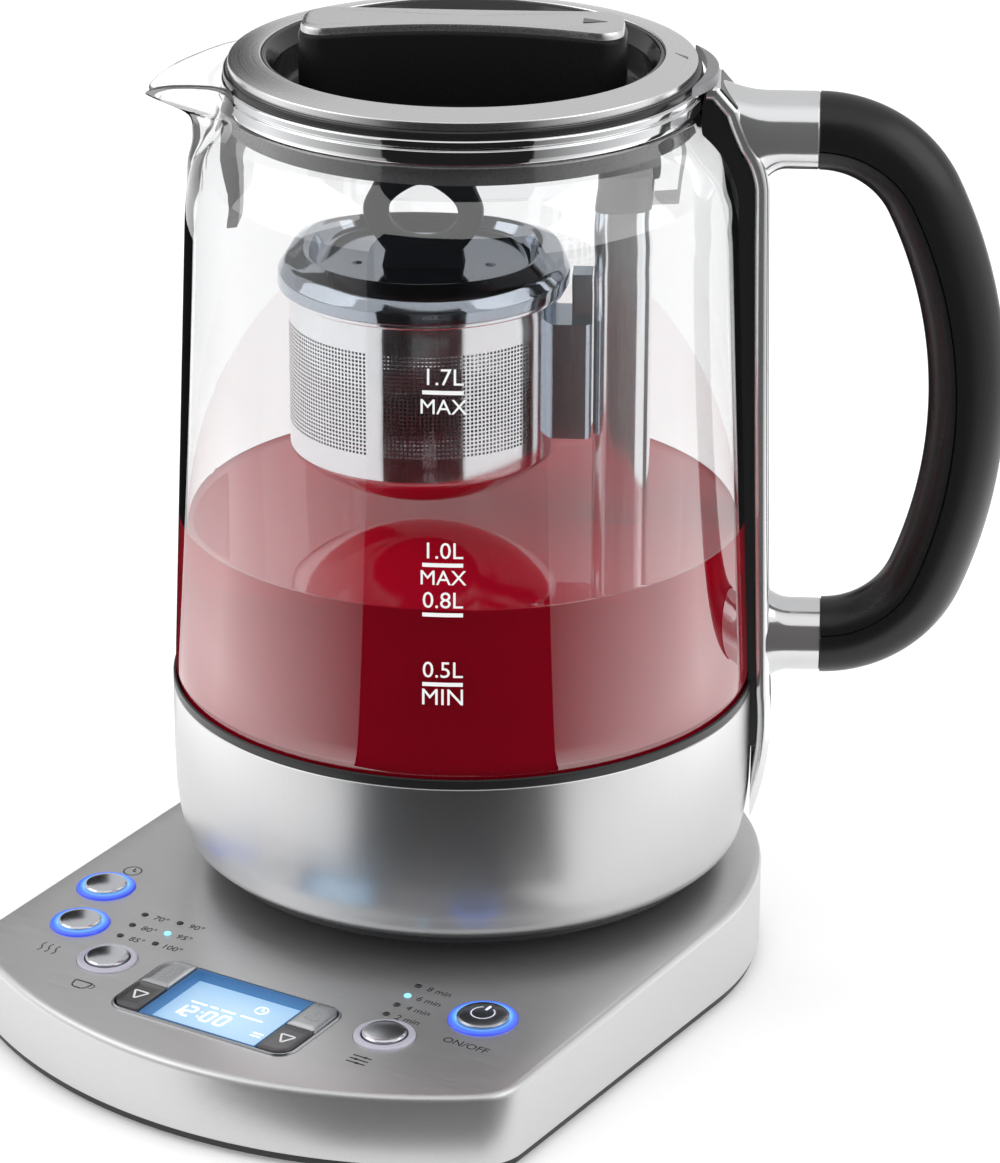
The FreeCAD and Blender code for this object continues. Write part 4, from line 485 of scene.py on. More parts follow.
def glowing(name, colour, roughness, at, stops, **sockets):
    """A finish that glows: its glow runs through (position, colour) stops along `at`, a function of its tree."""
    material, shader = finish(name, colour, roughness, **sockets)
    tree = material.node_tree
    glow = wire(tree, "ValToRGB", Fac=at(tree))
    marks = glow.node.color_ramp.elements
    for position, _ in stops[1:-1]:
        marks.new(position)
    for mark, (position, hue) in zip(marks, stops):
        mark.position, mark.color = position, (*hue, 1.0)
    tree.links.new(glow, shader.inputs["Emission Color"])
    return material


def cap_profile(r):
    """Half section of a button: a flange under the plate, an upright side and a shallow dome, which falls away from its
    middle by the square of the share of the radius."""
    side = eased([
        (0.001, FLANGE_Z - 1.2, 0), (r + 1.2, FLANGE_Z - 1.2, 0.1), (r + 1.2, FLANGE_Z, 0.1), (r, FLANGE_Z, 0),
        (r, BUTTON_PROUD - 0.8, 0.3), (r - 0.5, BUTTON_PROUD - 0.42, 0.3), (r * 0.8, BUTTON_PROUD - 0.28, 0)],
        closed=False)
    t = np.linspace(0.8, 0.0, 12)[1:]
    return np.concatenate([[(0.0, FLANGE_Z - 1.2)], side, np.stack([r * t, BUTTON_PROUD - 0.44 * t ** 2], -1)])


def ring_profile(r):
    """Closed section of a light ring: upright inside, rounded over at the outside."""
    return eased([(r + RING_GAP, -3.2, 0), (r + RING_W, -3.2, 0), (r + RING_W, RING_PROUD - 0.1, 0.6),
                  (r + RING_GAP, RING_PROUD + 0.15, 0.25)])


button_metal = grained("button_metal", (0.74, 0.75, 0.79), 0.16, 0.3, tint=0.03, unevenness=0.03, relief=0.003,
                       metallic=1.0)
power_metal = grained("power_metal", (0.45, 0.46, 0.5), 0.22, 0.3, tint=0.03, unevenness=0.03, relief=0.008,
                      metallic=1.0)
ring_blue = glowing("ring_blue", (0.05, 0.09, 0.5), 0.15,
                    lambda tree: wire(tree, "Attribute", "Fac", _attribute_name="across"), RING_COLOURS,
                    Emission__Strength=0.8)
ring_clear = grained("ring_clear", (0.5, 0.49, 0.57), 0.1, 0.5, tint=0.05, unevenness=0.03, Coat__Weight=0.6)
rings, across = {True: [], False: []}, {True: [], False: []}
for name, (x, y, r) in CONTROLS.items():
    metal = power_metal if name == "power_button" else button_metal
    shape(name + "_cap", on_plate(x, y, turned(cap_profile(r), 64)), metal, name, "button_metal", [name], sharp=40)
    profile, lit = ring_profile(r), name in LIT_BUTTONS
    rings[lit].append(looped(on_plate(x, y, turned(profile, 72))))
    across[lit].append(np.tile((profile[:, 0] - r - RING_GAP) / (RING_W - RING_GAP), 72))
for lit, name, material in ((True, "light_rings_lit", ring_blue), (False, "light_rings_unlit", ring_clear)):
    lens = shape(name, rings[lit], material, "base", "clear_lens", ["button_light_rings"])
    attribute(lens.data, "across", np.concatenate(across[lit]))

# -----
# Indicator lamps: small round light guides of dark clear plastic with domed ends, two of them lit
# pale blue.
lamp_dark = grained("lamp_dark", (0.03, 0.03, 0.035), 0.2, 0.3)
lamp_lit, _ = finish("lamp_lit", (0.2, 0.55, 0.9), 0.2, Emission__Color=(0.18, 0.66, 1.0, 1), Emission__Strength=1.5)
bend = np.linspace(0, np.pi / 2, 6)
guide = np.concatenate([[(0.0, -3.0), (LED_R, -3.0)],
                        np.stack([LED_R * np.cos(bend), 0.1 + 0.35 * np.sin(bend)], -1)])
for lit, name, material in ((False, "lamps_unlit", lamp_dark), (True, "lamps_lit", lamp_lit)):
    guides = [on_plate(x, y, turned(guide, 20)) for x, y, on, _ in LEDS if on == lit]
    shape(name, guides, material, "base", "screen", ["indicator_lamps"])

# -----
# Display: a silver frame let into the plate, a lit liquid crystal panel at the bottom of a blue well whose
# walls carry a painted glow of the panel's light, and two keys at either end with a triangle sunk in each.
LCD_W = 34.0
LCD_D = 26.4
LCD_Z = -2.6
LCD_LIT = ((0.1, (0.56, 0.78, 0.98)), (1.0, (0.27, 0.5, 0.8)))    # its colour in the middle and at its ends
BEZEL_WALL = 0.7
BEZEL_DEEP = 3.0
BEZEL_PROUD = 0.5
KEY_GAP = 0.35
KEY_PROUD = 0.9
SEGMENTS = {0: "abcdef", 1: "bc", 2: "abged"}
SEGMENT_ENDS = {          # both ends of each bar of a figure, in shares of its width and height
    "a": (0, 1, 1, 1), "b": (1, 1, 1, 0.5), "c": (1, 0.5, 1, 0), "d": (0, 0, 1, 0), "e": (0, 0, 0, 0.5),
    "f": (0, 0.5, 0, 1), "g": (0, 0.5, 1, 0.5)}


def at_display(points):
    """Points of the display's own frame, its origin in the middle of the plate's opening."""
    return on_plate(*DISPLAY_AT, points)


def frame_wall(outer, inner, low, high):
    """A frame between two outlines of the same count: up the outside, over the top and down the inside."""
    lip = low + 0.85 * (high - low)
    rows = [(0, low), (0, lip), (0.3, high), (0.7, high), (1, lip), (1, low)]
    return looped(at_display(np.stack([at_height(outer + (inner - outer) * t, z) for t, z in rows], 1)))


def flat_bar(x0, y0, x1, y1, w, z0, z1):
    """A thin upright block of width w along a line, with pointed ends, closed above and below."""
    a, b = np.array((x0, y0), float), np.array((x1, y1), float)
    length = np.linalg.norm(b - a)
    along = (b - a) / length
    side = np.array((-along[1], along[0])) * w / 2
    tip = along * min(w / 2, length / 2)
    return standing(np.stack([a, a + tip - side, b - tip - side, b, b - tip + side, a + tip + side]), z0, z1)


def lcd_bar(x0, y0, x1, y1, w):
    """A lit bar of the panel."""
    return at_display(flat_bar(x0, y0, x1, y1, w, LCD_Z, LCD_Z + 0.12))


def digit(number, x, y, high, w):
    """The lit bars of a seven-segment figure, half as wide as high and slanted by 0.08 of its height."""
    wide, lean = high * 0.5, high * 0.08
    ends = [SEGMENT_ENDS[letter] for letter in SEGMENTS[number]]
    return [lcd_bar(x + u0 * wide + v0 * lean, y + v0 * high, x + u1 * wide + v1 * lean, y + v1 * high, w)
            for u0, v0, u1, v1 in ends]


def panel_middle(tree):
    """Distance from the display's middle, in which 33 mm along or 24 mm across count as one, with a little noise."""
    at = wire(tree, "TexCoord", "Object")
    at = wire(tree, "VectorMath", _operation="ADD", i0=at, i1=(-DISPLAY_AT[0] * MM, -DISPLAY_AT[1] * MM, 0.0))
    spread = wire(tree, "VectorMath", _operation="MULTIPLY", i0=at, i1=(30.0, 42.0, 0.0))
    spread = wire(tree, "VectorMath", "Value", _operation="LENGTH", i0=spread)
    noise = wire(tree, "TexNoise", "Fac", Vector=at, Scale=90.0, Detail=2.0)
    return wire(tree, "Math", _operation="MULTIPLY_ADD", i0=noise, i1=0.3, i2=spread)


bezel_silver = grained("bezel_silver", (0.62, 0.63, 0.66), 0.18, 0.4, tint=0.04, unevenness=0.03, relief=0.006,
                       metallic=1.0)
frame_out = rounded(DISPLAY_W, DISPLAY_D, DISPLAY_CORNER, 8)
frame_in = rounded(DISPLAY_W - 2 * BEZEL_WALL, DISPLAY_D - 2 * BEZEL_WALL, DISPLAY_CORNER - BEZEL_WALL, 8)
shape("bezel_rim", [frame_wall(frame_out, frame_in, -BEZEL_DEEP, BEZEL_PROUD)], bezel_silver, "base", "silver_ring",
      ["display_bezel"])

well_blue_painted_glow, shader = finish("well_blue_painted_glow", (0.05, 0.16, 0.36), 0.35, Emission__Color=(0.25, 0.6, 1.0, 1))
tree = well_blue_painted_glow.node_tree
# Painted light: the well's walls glow blue, most at their foot beside the lit panel and least at the top, in place of
# the panel's light falling on them.
depth = wire(tree, "Attribute", "Fac", _attribute_name="depth")
tree.links.new(wire(tree, "MapRange", Value=depth, To__Min=0.02, To__Max=0.16), shader.inputs["Emission Strength"])
well_out = rounded(LCD_W + 2 * BEZEL_WALL, LCD_D, 0.4, 3)
well_in = rounded(LCD_W, LCD_D - 2 * BEZEL_WALL, 0.4, 3)
well = shape("display_well", [frame_wall(well_out, well_in, -BEZEL_DEEP, BEZEL_PROUD - 0.05)], well_blue_painted_glow, "base",
             "silver_ring", ["display_bezel"])
attribute(well.data, "depth", np.tile((1, 0.1, 0, 0, 0.1, 1), len(well_out)))

lcd_glow = glowing("lcd_glow", (0.25, 0.36, 0.45), 0.25, panel_middle, LCD_LIT, Emission__Strength=0.62)
lcd_block = standing(rounded(LCD_W - 0.1, LCD_D - 2 * BEZEL_WALL - 0.1, 0.4, 3), -BEZEL_DEEP - 1.0, LCD_Z)
shape("lcd_panel", at_display(lcd_block), lcd_glow, "base", "screen", ["display_panel", "display_window"])
digit_white, _ = finish("digit_white", (0.9, 0.95, 1.0), 0.4, Emission__Color=(0.9, 0.97, 1.0, 1),
                        Emission__Strength=0.75)
figures = []
for number, x in ((1, -14.8), (2, -11.4), (0, -5.6), (0, -1.4)):
    figures += digit(number, x, -4.4, 4.8, 0.62)
figures += [lcd_bar(-7.1, y, -6.4, y, 0.7) for y in (-3.2, -0.9)]
figures += [lcd_bar(x, 2.6, x + w, 2.6, 0.5) for x, w in ((-12.6, 5.0), (-6.8, 2.6), (-3.4, 4.4), (2.4, 6.8))]
figures += [lcd_bar(10.0, y, 13.2, y, 0.4) for y in (-4.2, -2.8)]
dial = arc(5.6, 7.4, 1.7, 0, 360, 25)
figures += [lcd_bar(*a, *b, 0.35) for a, b in zip(dial, dial[1:])]
figures += [lcd_bar(5.6, 7.4, 5.6, 8.6, 0.3), lcd_bar(5.6, 7.4, 6.5, 7.4, 0.3)]
shape("lcd_figures", figures, digit_white, "base", "screen")

key_silver = grained("key_silver", (0.64, 0.65, 0.67), 0.24, 0.4, tint=0.03, unevenness=0.03, relief=0.001,
                     metallic=0.85)
key_dark = grained("key_dark", (0.14, 0.14, 0.145), 0.2, 0.4, tint=0.06, unevenness=0.04, relief=0.001, metallic=0.6)
triangle_pale = grained("triangle_pale", (0.8, 0.8, 0.8), 0.4, 0.4)
triangle_grey = grained("triangle_grey", (0.33, 0.33, 0.34), 0.4, 0.4)
key_in_x = LCD_W / 2 + BEZEL_WALL + KEY_GAP
key_out_x = DISPLAY_W / 2 - BEZEL_WALL - KEY_GAP
key_out_y = DISPLAY_D / 2 - BEZEL_WALL - KEY_GAP
for name, sx, sy in (("left_up_key", -1, 1), ("left_down_key", -1, -1), ("right_up_key", 1, 1),
                     ("right_down_key", 1, -1)):
    metal, paint = (key_silver, triangle_grey) if sy > 0 else (key_dark, triangle_pale)
    outline = eased([(sx * key_in_x, sy * KEY_GAP / 2, 0.5), (sx * key_out_x, sy * KEY_GAP / 2, 0.6),
                     (sx * key_out_x, sy * key_out_y, DISPLAY_CORNER - 1.0), (sx * key_in_x, sy * key_out_y, 0.6)])
    key = standing(outline, -4.4, KEY_PROUD - 0.3, (0.985, 0.985, KEY_PROUD - 0.08), (0.95, 0.95, KEY_PROUD),
                   (0.6, 0.6, KEY_PROUD))
    shape(name + "_top", at_display(key), metal, name, "silver_ring", [name], sharp=40)
    cx, cy = sx * (key_in_x + key_out_x) / 2, sy * key_out_y / 2
    tips = [(cx - 2.1, cy - sy * 1.7), (cx + 2.1, cy - sy * 1.7), (cx, cy + sy * 2.1)]
    sides = [flat_bar(*a, *b, 0.55, KEY_PROUD - 0.1, KEY_PROUD + 0.05) for a, b in zip(tips, tips[1:] + tips[:1])]
    shape(name + "_mark", [at_display(side) for side in sides], paint, name, "silver_ring")

# -----
# Prints on the plate: plain numbers beside the lamps, small pictograms by the buttons and ON/OFF,
# screen printed in dark grey ink. The sign of the power button is lit.
PRINT_T = 0.04
LETTER_SIZE = 1.38        # size of a letter for a capital of height 1
LINE_W = 0.45
SIGN_W = 0.75
CLOCK_AT = (-66.7, -58.0)
WAVES_AT = (-59.6, -104.1)
CUP_AT = (-40.9, -115.4)
SLIDERS_AT = (40.9, -112.0)


def lettering(name, text, high, material, body, slot, place):
    """Raised flat lettering of a height in mm; `place` maps its x, y and thickness, in mm, to the part's frame."""
    curve = bpy.data.curves.new(name, "FONT")
    curve.body, curve.size, curve.align_x = text, high * LETTER_SIZE, "CENTER"
    curve.extrude, curve.resolution_u = PRINT_T / 2, 3
    written = linked(name + "_curve", curve)
    bpy.context.view_layer.update()
    mesh = bpy.data.meshes.new_from_object(written.evaluated_get(bpy.context.evaluated_depsgraph_get()))
    bpy.data.objects.remove(written)
    mesh.name = name
    corners = np.empty(len(mesh.vertices) * 3)
    mesh.vertices.foreach_get("co", corners)
    mesh.vertices.foreach_set("co", place(corners.reshape(-1, 3)).ravel())
    piece(mesh, material, body, slot)


def plate_print(name, text, x, y, high):
    """A word or number printed on the plate with its lower middle at x, y."""
    lettering(name, text, high, ink, "base", "black_plastic", lambda p: on_plate(x, y, p + (0, 0, PRINT_T / 2)))


def stroke(at, points, w=LINE_W):
    """Bars of a printed line through points about a place on the plate."""
    points = np.asarray(points, float) + at
    return [on_plate(0, 0, flat_bar(*a, *b, w, 0.0, PRINT_T)) for a, b in zip(points, points[1:])]


ink = grained("plate_ink", (0.025, 0.025, 0.028), 0.5, 0.3, tint=0.15)
for number, (x, y, _, text) in enumerate(LEDS, 1):
    plate_print(f"lamp_print_{number}", text, x + (5.2 if x < 0 else 6.4), y - 1.0, 2.3)
plate_print("power_print", "ON/OFF", 59.4, -93.6, 2.6)
signs = stroke(CLOCK_AT, arc(0, 0, 2.4, 0, 360, 25)) + stroke(CLOCK_AT, [(0, 1.6), (0, 0), (1.2, 0)])
t = np.linspace(0, 1, 9)
for x in (-2.2, 0.0, 2.2):
    signs += stroke(WAVES_AT, np.column_stack([x + 0.5 * np.sin(t * 2 * np.pi), 4.4 * t - 2.2]))
signs += stroke(CUP_AT, [(-2.6, 1.4), (-2.2, -1.0), (-1.2, -1.9), (1.2, -1.9), (2.2, -1.0), (2.6, 1.4), (-2.6, 1.4)])
signs += stroke(CUP_AT, arc(2.7, 0.1, 1.1, -80, 80, 9))
for y, x in ((1.6, 0.9), (0.0, -0.9), (-1.6, 0.3)):
    signs += stroke(SLIDERS_AT, [(-2.8, y), (2.8, y)]) + stroke(SLIDERS_AT, [(x, y - 0.6), (x, y + 0.6)], 0.8)
shape("plate_pictograms", signs, ink, "base", "black_plastic")

power_white, _ = finish("power_white", (0.8, 0.84, 0.95), 0.35, Emission__Color=(0.75, 0.85, 1.0, 1),
                        Emission__Strength=0.35)
x, y, _ = CONTROLS["power_button"]
dome_z = BUTTON_PROUD - 0.1
circuit = arc(0, 0, 2.9, 118, 422, 33)
power_sign = [flat_bar(*a, *b, SIGN_W, dome_z - 0.4, dome_z + 0.02) for a, b in zip(circuit, circuit[1:])]
power_sign += [flat_bar(0, 0.3, 0, 3.9, SIGN_W, dome_z - 0.4, dome_z + 0.08)]
shape("power_pictogram", [on_plate(x, y, bar) for bar in power_sign], power_white, "power_button", "button_metal")

# -----
# Bottom of the jug: a black cover with the coupler, and the steel band, drawn from sheet, curled in at
# the foot and brushed upright. A black rubber seal lies between the band and the glass.
JUG_TURN = math.radians(28.5)
JUG_LIFT = 29.6
BAND_R = 76.0
BAND_TOP = 46.9
BAND_FOOT_R = 67.9
FOOT_H = 2.8
BAND_CURL_IN = 6.5
BAND_CURL_H = 24.2
BAND_T = 0.7


def on_jug(points):
    """Points of the jug's own frame, in mm, turned to where its handle stands and lifted onto the dock."""
    c, s = math.cos(JUG_TURN), math.sin(JUG_TURN)
    x, y, z = np.moveaxis(np.asarray(points, float), -1, 0)
    return np.stack([c * x - s * y, s * x + c * y, z + JUG_LIFT], -1) * MM


def spun(profile, steps=180):
    """A profile of the jug's own frame, closed or not, carried round the jug's axis."""
    return on_jug(turned(profile, steps))


def through(x, xs, ys):
    """Smooth curve through given points: cubic pieces whose slopes are the mean slopes at the points."""
    xs, ys = np.asarray(xs, float), np.asarray(ys, float)
    slopes = np.gradient(ys, xs)
    i = np.clip(np.searchsorted(xs, x, side="right") - 1, 0, len(xs) - 2)
    step = xs[i + 1] - xs[i]
    t = np.clip((x - xs[i]) / step, 0, 1)
    return ((2 * t ** 3 - 3 * t ** 2 + 1) * ys[i] + (t ** 3 - 2 * t ** 2 + t) * step * slopes[i]
            + (3 * t ** 2 - 2 * t ** 3) * ys[i + 1] + (t ** 3 - t ** 2) * step * slopes[i + 1])


band_steel = grained("band_steel", (0.62, 0.62, 0.625), 0.32, (0.3, 0.3, 30.0), tint=0.03, unevenness=0.02,
                     relief=0.0005, metallic=1.0)
rise = np.linspace(0, 1, 20) ** 1.6 * BAND_CURL_H
curl = np.array([1.0, 0.477, 0.23, 0.06, 0.0]) * BAND_CURL_IN
band_r = BAND_R - through(rise, [0.0, 2.4, 6.7, 14.2, BAND_CURL_H], curl)
band_out = np.column_stack([band_r, FOOT_H + rise])
band_in = np.column_stack([band_r - BAND_T, FOOT_H + BAND_T + rise * (1 - BAND_T / BAND_CURL_H)])
band_profile = np.concatenate([
    [(BAND_FOOT_R, FOOT_H)], band_out, [(BAND_R, BAND_TOP - 0.3), (BAND_R - 0.25, BAND_TOP),
                                        (BAND_R - BAND_T, BAND_TOP)], band_in[::-1], [(BAND_FOOT_R, FOOT_H + BAND_T)]])
shape("band_brushed", looped(spun(band_profile)), band_steel, "jug", "brushed_steel", ["jug_band"])
seal_black = grained("seal_black", (0.012, 0.012, 0.013), 0.34, 0.4, relief=0.01)
seal_profile = eased([(74.3, 45.4, 0), (75.2, 45.4, 0), (75.2, BAND_TOP + 0.02, 0), (BAND_R, BAND_TOP + 0.02, 0.1),
                      (BAND_R, 49.2, 0.7), (75.4, 49.4, 0.1), (74.9, 47.6, 0)])
shape("glass_seal_ring", looped(spun(seal_profile)), seal_black, "jug", "black_rubber", ["glass_seal"])
dress(black_moulding, "jug_bottom_cover", "jug_coupler", "thermostat")
dress(grained("heater_steel", (0.55, 0.55, 0.57), 0.3, (0.3, 0.3, 8.0), lathe=True, metallic=1.0), "heater_plate",
      "temperature_probe", "heating_element", "lift_motor")

# -----
# Glass: blown borosilicate, 2.2 mm thick, slightly tapered, with a rounded shoulder, an upright neck
# and a spout drawn out of the neck opposite the handle.
GLASS_T = 2.2
GLASS_FOOT_Z = 43.65
GLASS_TOP = 203.0
NECK_R = 60.4
EVEN_TO_Z = 160.0         # below it the rows lie at even heights, above it they are drawn up to the rim
SPOUT_Z = np.array([-31.0, -19.0, -10.0, -4.0, -1.0, 2.0, 8.5]) + GLASS_TOP
SPOUT_REACH = np.array([3.6, 8.6, 7.8, 10.6, 19.1, 23.6, 34.6]) + NECK_R
SPOUT_HALF = (10.0, 17.0, 21.0, 26.0, 28.0, 30.0, 33.5)
SPOUT_TIP_R = (6.0, 6.5, 7.0, 6.5, 5.0, 5.0, 5.0)
SPOUT_ROOT_X = 42.0
NOSE_TURN = math.radians(52.0)
BLEND = 2.2
RIM_AT = (0.0, 2.0, 4.2, 8.0, 12.9, 16.5, 19.4, 23.0, 25.0, 27.0, 30.0, 180.0)      # degrees from the spout
RIM_Z = (202.0, 203.3, 205.3, 207.4, 209.0, 209.9, 210.4, 210.3, 208.2, 203.6, 203.0, 203.0)
RIM_H = 0.8


def smoothed(xs, ys, x, spread):
    """A line of points drawn smooth: each value is the mean of its neighbours weighted by exp(-(d / spread)^2 / 2)."""
    reach = x[1] - x[0]
    d = np.arange(-round(3 * spread / reach), round(3 * spread / reach) + 1) * reach
    weight = np.exp(-0.5 * (d / spread) ** 2)
    values = np.pad(np.interp(x, xs, ys), len(d) // 2, mode="reflect", reflect_type="odd")
    return np.convolve(values, weight / weight.sum(), "valid")


wall_line = eased([
    (74.1, GLASS_FOOT_Z, 0), (74.1, 47.0, 1.5), (75.4, 50.5, 3.0), (70.2, 175.0, 26.0), (68.4, 186.0, 14.0),
    (NECK_R, 196.2, 9.0), (NECK_R, GLASS_TOP, 0)], closed=False, steps=14)
height = np.linspace(GLASS_FOOT_Z, 216.0, 1725)
wall_smooth = smoothed(wall_line[:, 1], wall_line[:, 0], height, 1.6)
spout_tip, spout_reach, spout_half = (
    smoothed(height, through(height, SPOUT_Z, line), height, 1.2) for line in (SPOUT_TIP_R, SPOUT_REACH, SPOUT_HALF))


def wall_radius(z, inset):
    """Outer radius of the round part of the glass at a height, less the inset."""
    return np.interp(z, height, wall_smooth) - inset


def nose_radius(angle, z, inset):
    """Radius of the spout's nose: at each height a round tip whose tangents run back to the root of the spout.
    Along the tip it is c cos a + sqrt(t^2 - c^2 sin^2 a), beyond it the distance to the tangent line."""
    tip, reach, half = (np.interp(z, height, line) - inset for line in (spout_tip, spout_reach, spout_half))
    centre = reach - tip
    back = centre - SPOUT_ROOT_X
    lean = np.arctan2(half, back) - np.arcsin(np.clip(tip / np.hypot(half, back), -1, 1))
    normal_x, normal_y = np.sin(lean), np.cos(lean)
    a = np.abs(angle)
    on_tip = centre * np.cos(a) + np.sqrt(np.clip(tip ** 2 - (centre * np.sin(a)) ** 2, 0, None))
    on_line = (centre * normal_x + tip) / np.maximum(np.cos(a) * normal_x + np.sin(a) * normal_y, 0.05)
    meet = np.arctan2(tip * normal_y, centre + tip * normal_x)
    return np.where(a < meet, on_tip, on_line)


def glass_radius(angle, z, inset):
    """The greater of wall and nose, blended where they meet: (w + n + sqrt((w - n)^2 + s^2)) / 2, with s falling to
    nothing away from the spout. The nose counts only near the spout and above its root."""
    wall = wall_radius(z, inset)
    below = np.clip((SPOUT_Z[0] + 6.0 - z) / 22.0, 0, 1) ** 1.5
    nose = nose_radius(np.clip(angle, -NOSE_TURN, NOSE_TURN), z, inset) - 14.0 * below
    nose = np.where(np.abs(angle) < NOSE_TURN, nose, 0.0)
    soft = BLEND * np.clip((nose - wall + 9.0) / 7.0, 0, 1)
    return (wall + nose + np.sqrt((wall - nose) ** 2 + soft ** 2)) / 2


def glass_side(inset):
    """One face of the glass, foot to rim, over angles from the spout."""
    low = np.concatenate([np.linspace(GLASS_FOOT_Z, 52, 12)[:-1], np.linspace(52, EVEN_TO_Z, 28)[:-1]])
    high = EVEN_TO_Z + (rim_z[:, None] - RIM_H - EVEN_TO_Z) * np.linspace(0, 1, 66)
    z = np.concatenate([np.tile(low, (len(angles), 1)), high], 1)
    r = glass_radius(angles[:, None], z, inset)
    return np.stack([-r * np.cos(angles)[:, None], r * np.sin(angles)[:, None], z], -1)


def see_through(name, colour, index, sheen_index, density, depth_colour, cloud=None, top_only=False):
    """Clear material: refraction, and on its outer face a mirror reflection by Fresnel at `sheen_index`; light passes
    for shadows. The density colours it with depth, a cloud (share, colour) clouds it, and `top_only` keeps the
    reflection to faces that look up, as where its sides lie against glass."""
    material = bpy.data.materials.new(name)
    tree = emptied(material)
    body = wire(tree, "BsdfRefraction", Color=(*colour, 1), Roughness=0.0, IOR=index)
    if cloud:
        haze = wire(tree, "BsdfDiffuse", Color=(*cloud[1], 1))
        body = wire(tree, "MixShader", Fac=cloud[0], i1=body, i2=haze)
    face = wire(tree, "NewGeometry").node.outputs
    outer = wire(tree, "Math", _operation="SUBTRACT", i0=1.0, i1=face["Backfacing"])
    if top_only:
        up = wire(tree, "SeparateXYZ", "Z", Vector=face["Normal"])
        up = wire(tree, "Math", _operation="GREATER_THAN", i0=up, i1=0.5)
        outer = wire(tree, "Math", _operation="MULTIPLY", i0=outer, i1=up)
    share = wire(tree, "Math", _operation="MULTIPLY", i0=wire(tree, "Fresnel", IOR=sheen_index), i1=outer)
    gloss = wire(tree, "BsdfGlossy", Color=(1, 1, 1, 1), Roughness=0.0)
    surface = wire(tree, "MixShader", Fac=share, i1=body, i2=gloss)
    passing = wire(tree, "BsdfTransparent", Color=(*colour, 1))
    surface = wire(tree, "MixShader", Fac=wire(tree, "LightPath", "Is Shadow Ray"), i1=surface, i2=passing)
    depth = wire(tree, "VolumeAbsorption", Color=(*depth_colour, 1), Density=density)
    wire(tree, "OutputMaterial", Surface=surface, Volume=depth)
    return material


turns = np.concatenate([np.linspace(-34, 34, 137), np.linspace(34, 326, 220)[1:-1]])
angles = np.radians((turns + 180) % 360 - 180)
rim_z = np.interp(np.degrees(np.abs(angles)), RIM_AT, RIM_Z)
rim_z = np.convolve(np.concatenate([rim_z[-3:], rim_z, rim_z[:3]]), np.ones(7) / 7, "valid")
outside, inside = glass_side(0.0), glass_side(GLASS_T)
bead = [outside[:, -1] + (inside[:, -1] - outside[:, -1]) * (1 - math.cos(b)) / 2 + (0, 0, RIM_H * math.sin(b))
        for b in np.radians((25, 55, 90, 125, 155))]
glass_points = np.concatenate([outside, np.stack(bead, 1), inside[:, ::-1]], 1)
clear_glass = see_through("clear_glass", (0.99, 0.991, 0.992), 1.47, 2.25, 30.0, (0.0, 0.03, 0.05))
shape("glass_jug", looped(on_jug(glass_points)), clear_glass, "jug", "clear_glass", ["glass_body"], sharp=60)

# -----
# Tea: red and slightly cloudy, filled to a little under the 0.8 litre mark. Its surface climbs the glass by a
# thin edge.
TEA_LEVEL = 92.5
TEA_FLOOR = 45.2
TEA_INTO_GLASS = 0.25     # its side lies inside the wall, so that no air shows between them
TEA_CLIMB = 0.9
TEA_EDGE = 3.2

tea_red = see_through("tea_red", (0.96, 0.3, 0.2), 1.33, 2.3, 50.0, (0.9, 0.2, 0.0), cloud=(0.7, (0.8, 0.0, 0.03)),
                      top_only=True)
z = np.linspace(TEA_FLOOR, TEA_LEVEL + TEA_CLIMB, 30)
tea_side = np.column_stack([wall_radius(z, GLASS_T - TEA_INTO_GLASS), z])
brim_r = tea_side[-1, 0]
edge = np.linspace(0, 1, 8)[1:]
tea_top = np.column_stack([brim_r - TEA_EDGE * edge, TEA_LEVEL + TEA_CLIMB * (1 - edge) ** 3])
tea_profile = np.concatenate([[(0.0, TEA_FLOOR)], tea_side, tea_top, [(brim_r / 2, TEA_LEVEL), (0.0, TEA_LEVEL)]])
shape("tea", spun(tea_profile, 128), tea_red, "jug", "clear_glass", sharp=50)

# -----
# Level marks on the glass, screen printed in white enamel on the side between spout and handle.
# Short lines stand between the words, at the levels they name.
MARKS = (                 # name, word, height of its foot and of its letters
    ("mark_17", "1.7L", 151.6, 4.3), ("mark_max_high", "MAX", 144.3, 3.9), ("mark_10", "1.0L", 107.4, 4.3),
    ("mark_max_low", "MAX", 100.6, 3.9), ("mark_08", "0.8L", 94.6, 4.3), ("mark_05", "0.5L", 76.4, 4.3),
    ("mark_min", "MIN", 69.2, 4.4))
MARK_LINES = (149.7, 105.7, 92.8, 74.6)
MARK_LINE_HALF = 5.0
MARK_SECTION = ((-0.5, -0.5, 0.5, 0.5), (0.0, 0.05, 0.05, 0.0))   # heights and thicknesses round a line


def on_glass(z):
    """Wraps flat points round the glass: x runs along the wall at the jug's -Y side, y upwards from z."""
    def place(p):
        x, y, proud = np.moveaxis(p, -1, 0)
        r = wall_radius(z + y, 0.0) + 0.05 + proud
        a = x / wall_radius(z, 0.0) - np.pi / 2
        return on_jug(np.stack([r * np.cos(a), r * np.sin(a), z + y], -1))
    return place


# The enamel's faint white glow is painted light: the print is no lamp.
enamel = grained("enamel_white_painted_glow", (0.85, 0.86, 0.86), 0.45, 0.4, tint=0.04, Emission__Color=(1, 1, 1, 1),
                 Emission__Strength=0.1)
for name, text, z, high in MARKS:
    lettering(name, text, high, enamel, "jug", "clear_glass", on_glass(z))
x = np.linspace(-MARK_LINE_HALF, MARK_LINE_HALF, 9)[:, None]
bar = np.stack(np.broadcast_arrays(x, *np.array(MARK_SECTION)), -1)
shape("mark_lines", [(on_glass(z)(bar), False, True) for z in MARK_LINES], enamel, "jug", "clear_glass")

# -----
# Collar: a chromed ring pressed over the neck, on a grey moulded skirt that hangs inside the glass and
# carries the translucent guard behind the spout.
COLLAR_R = 60.6
COLLAR_TOP = 209.4
SKIRT_R = 57.8


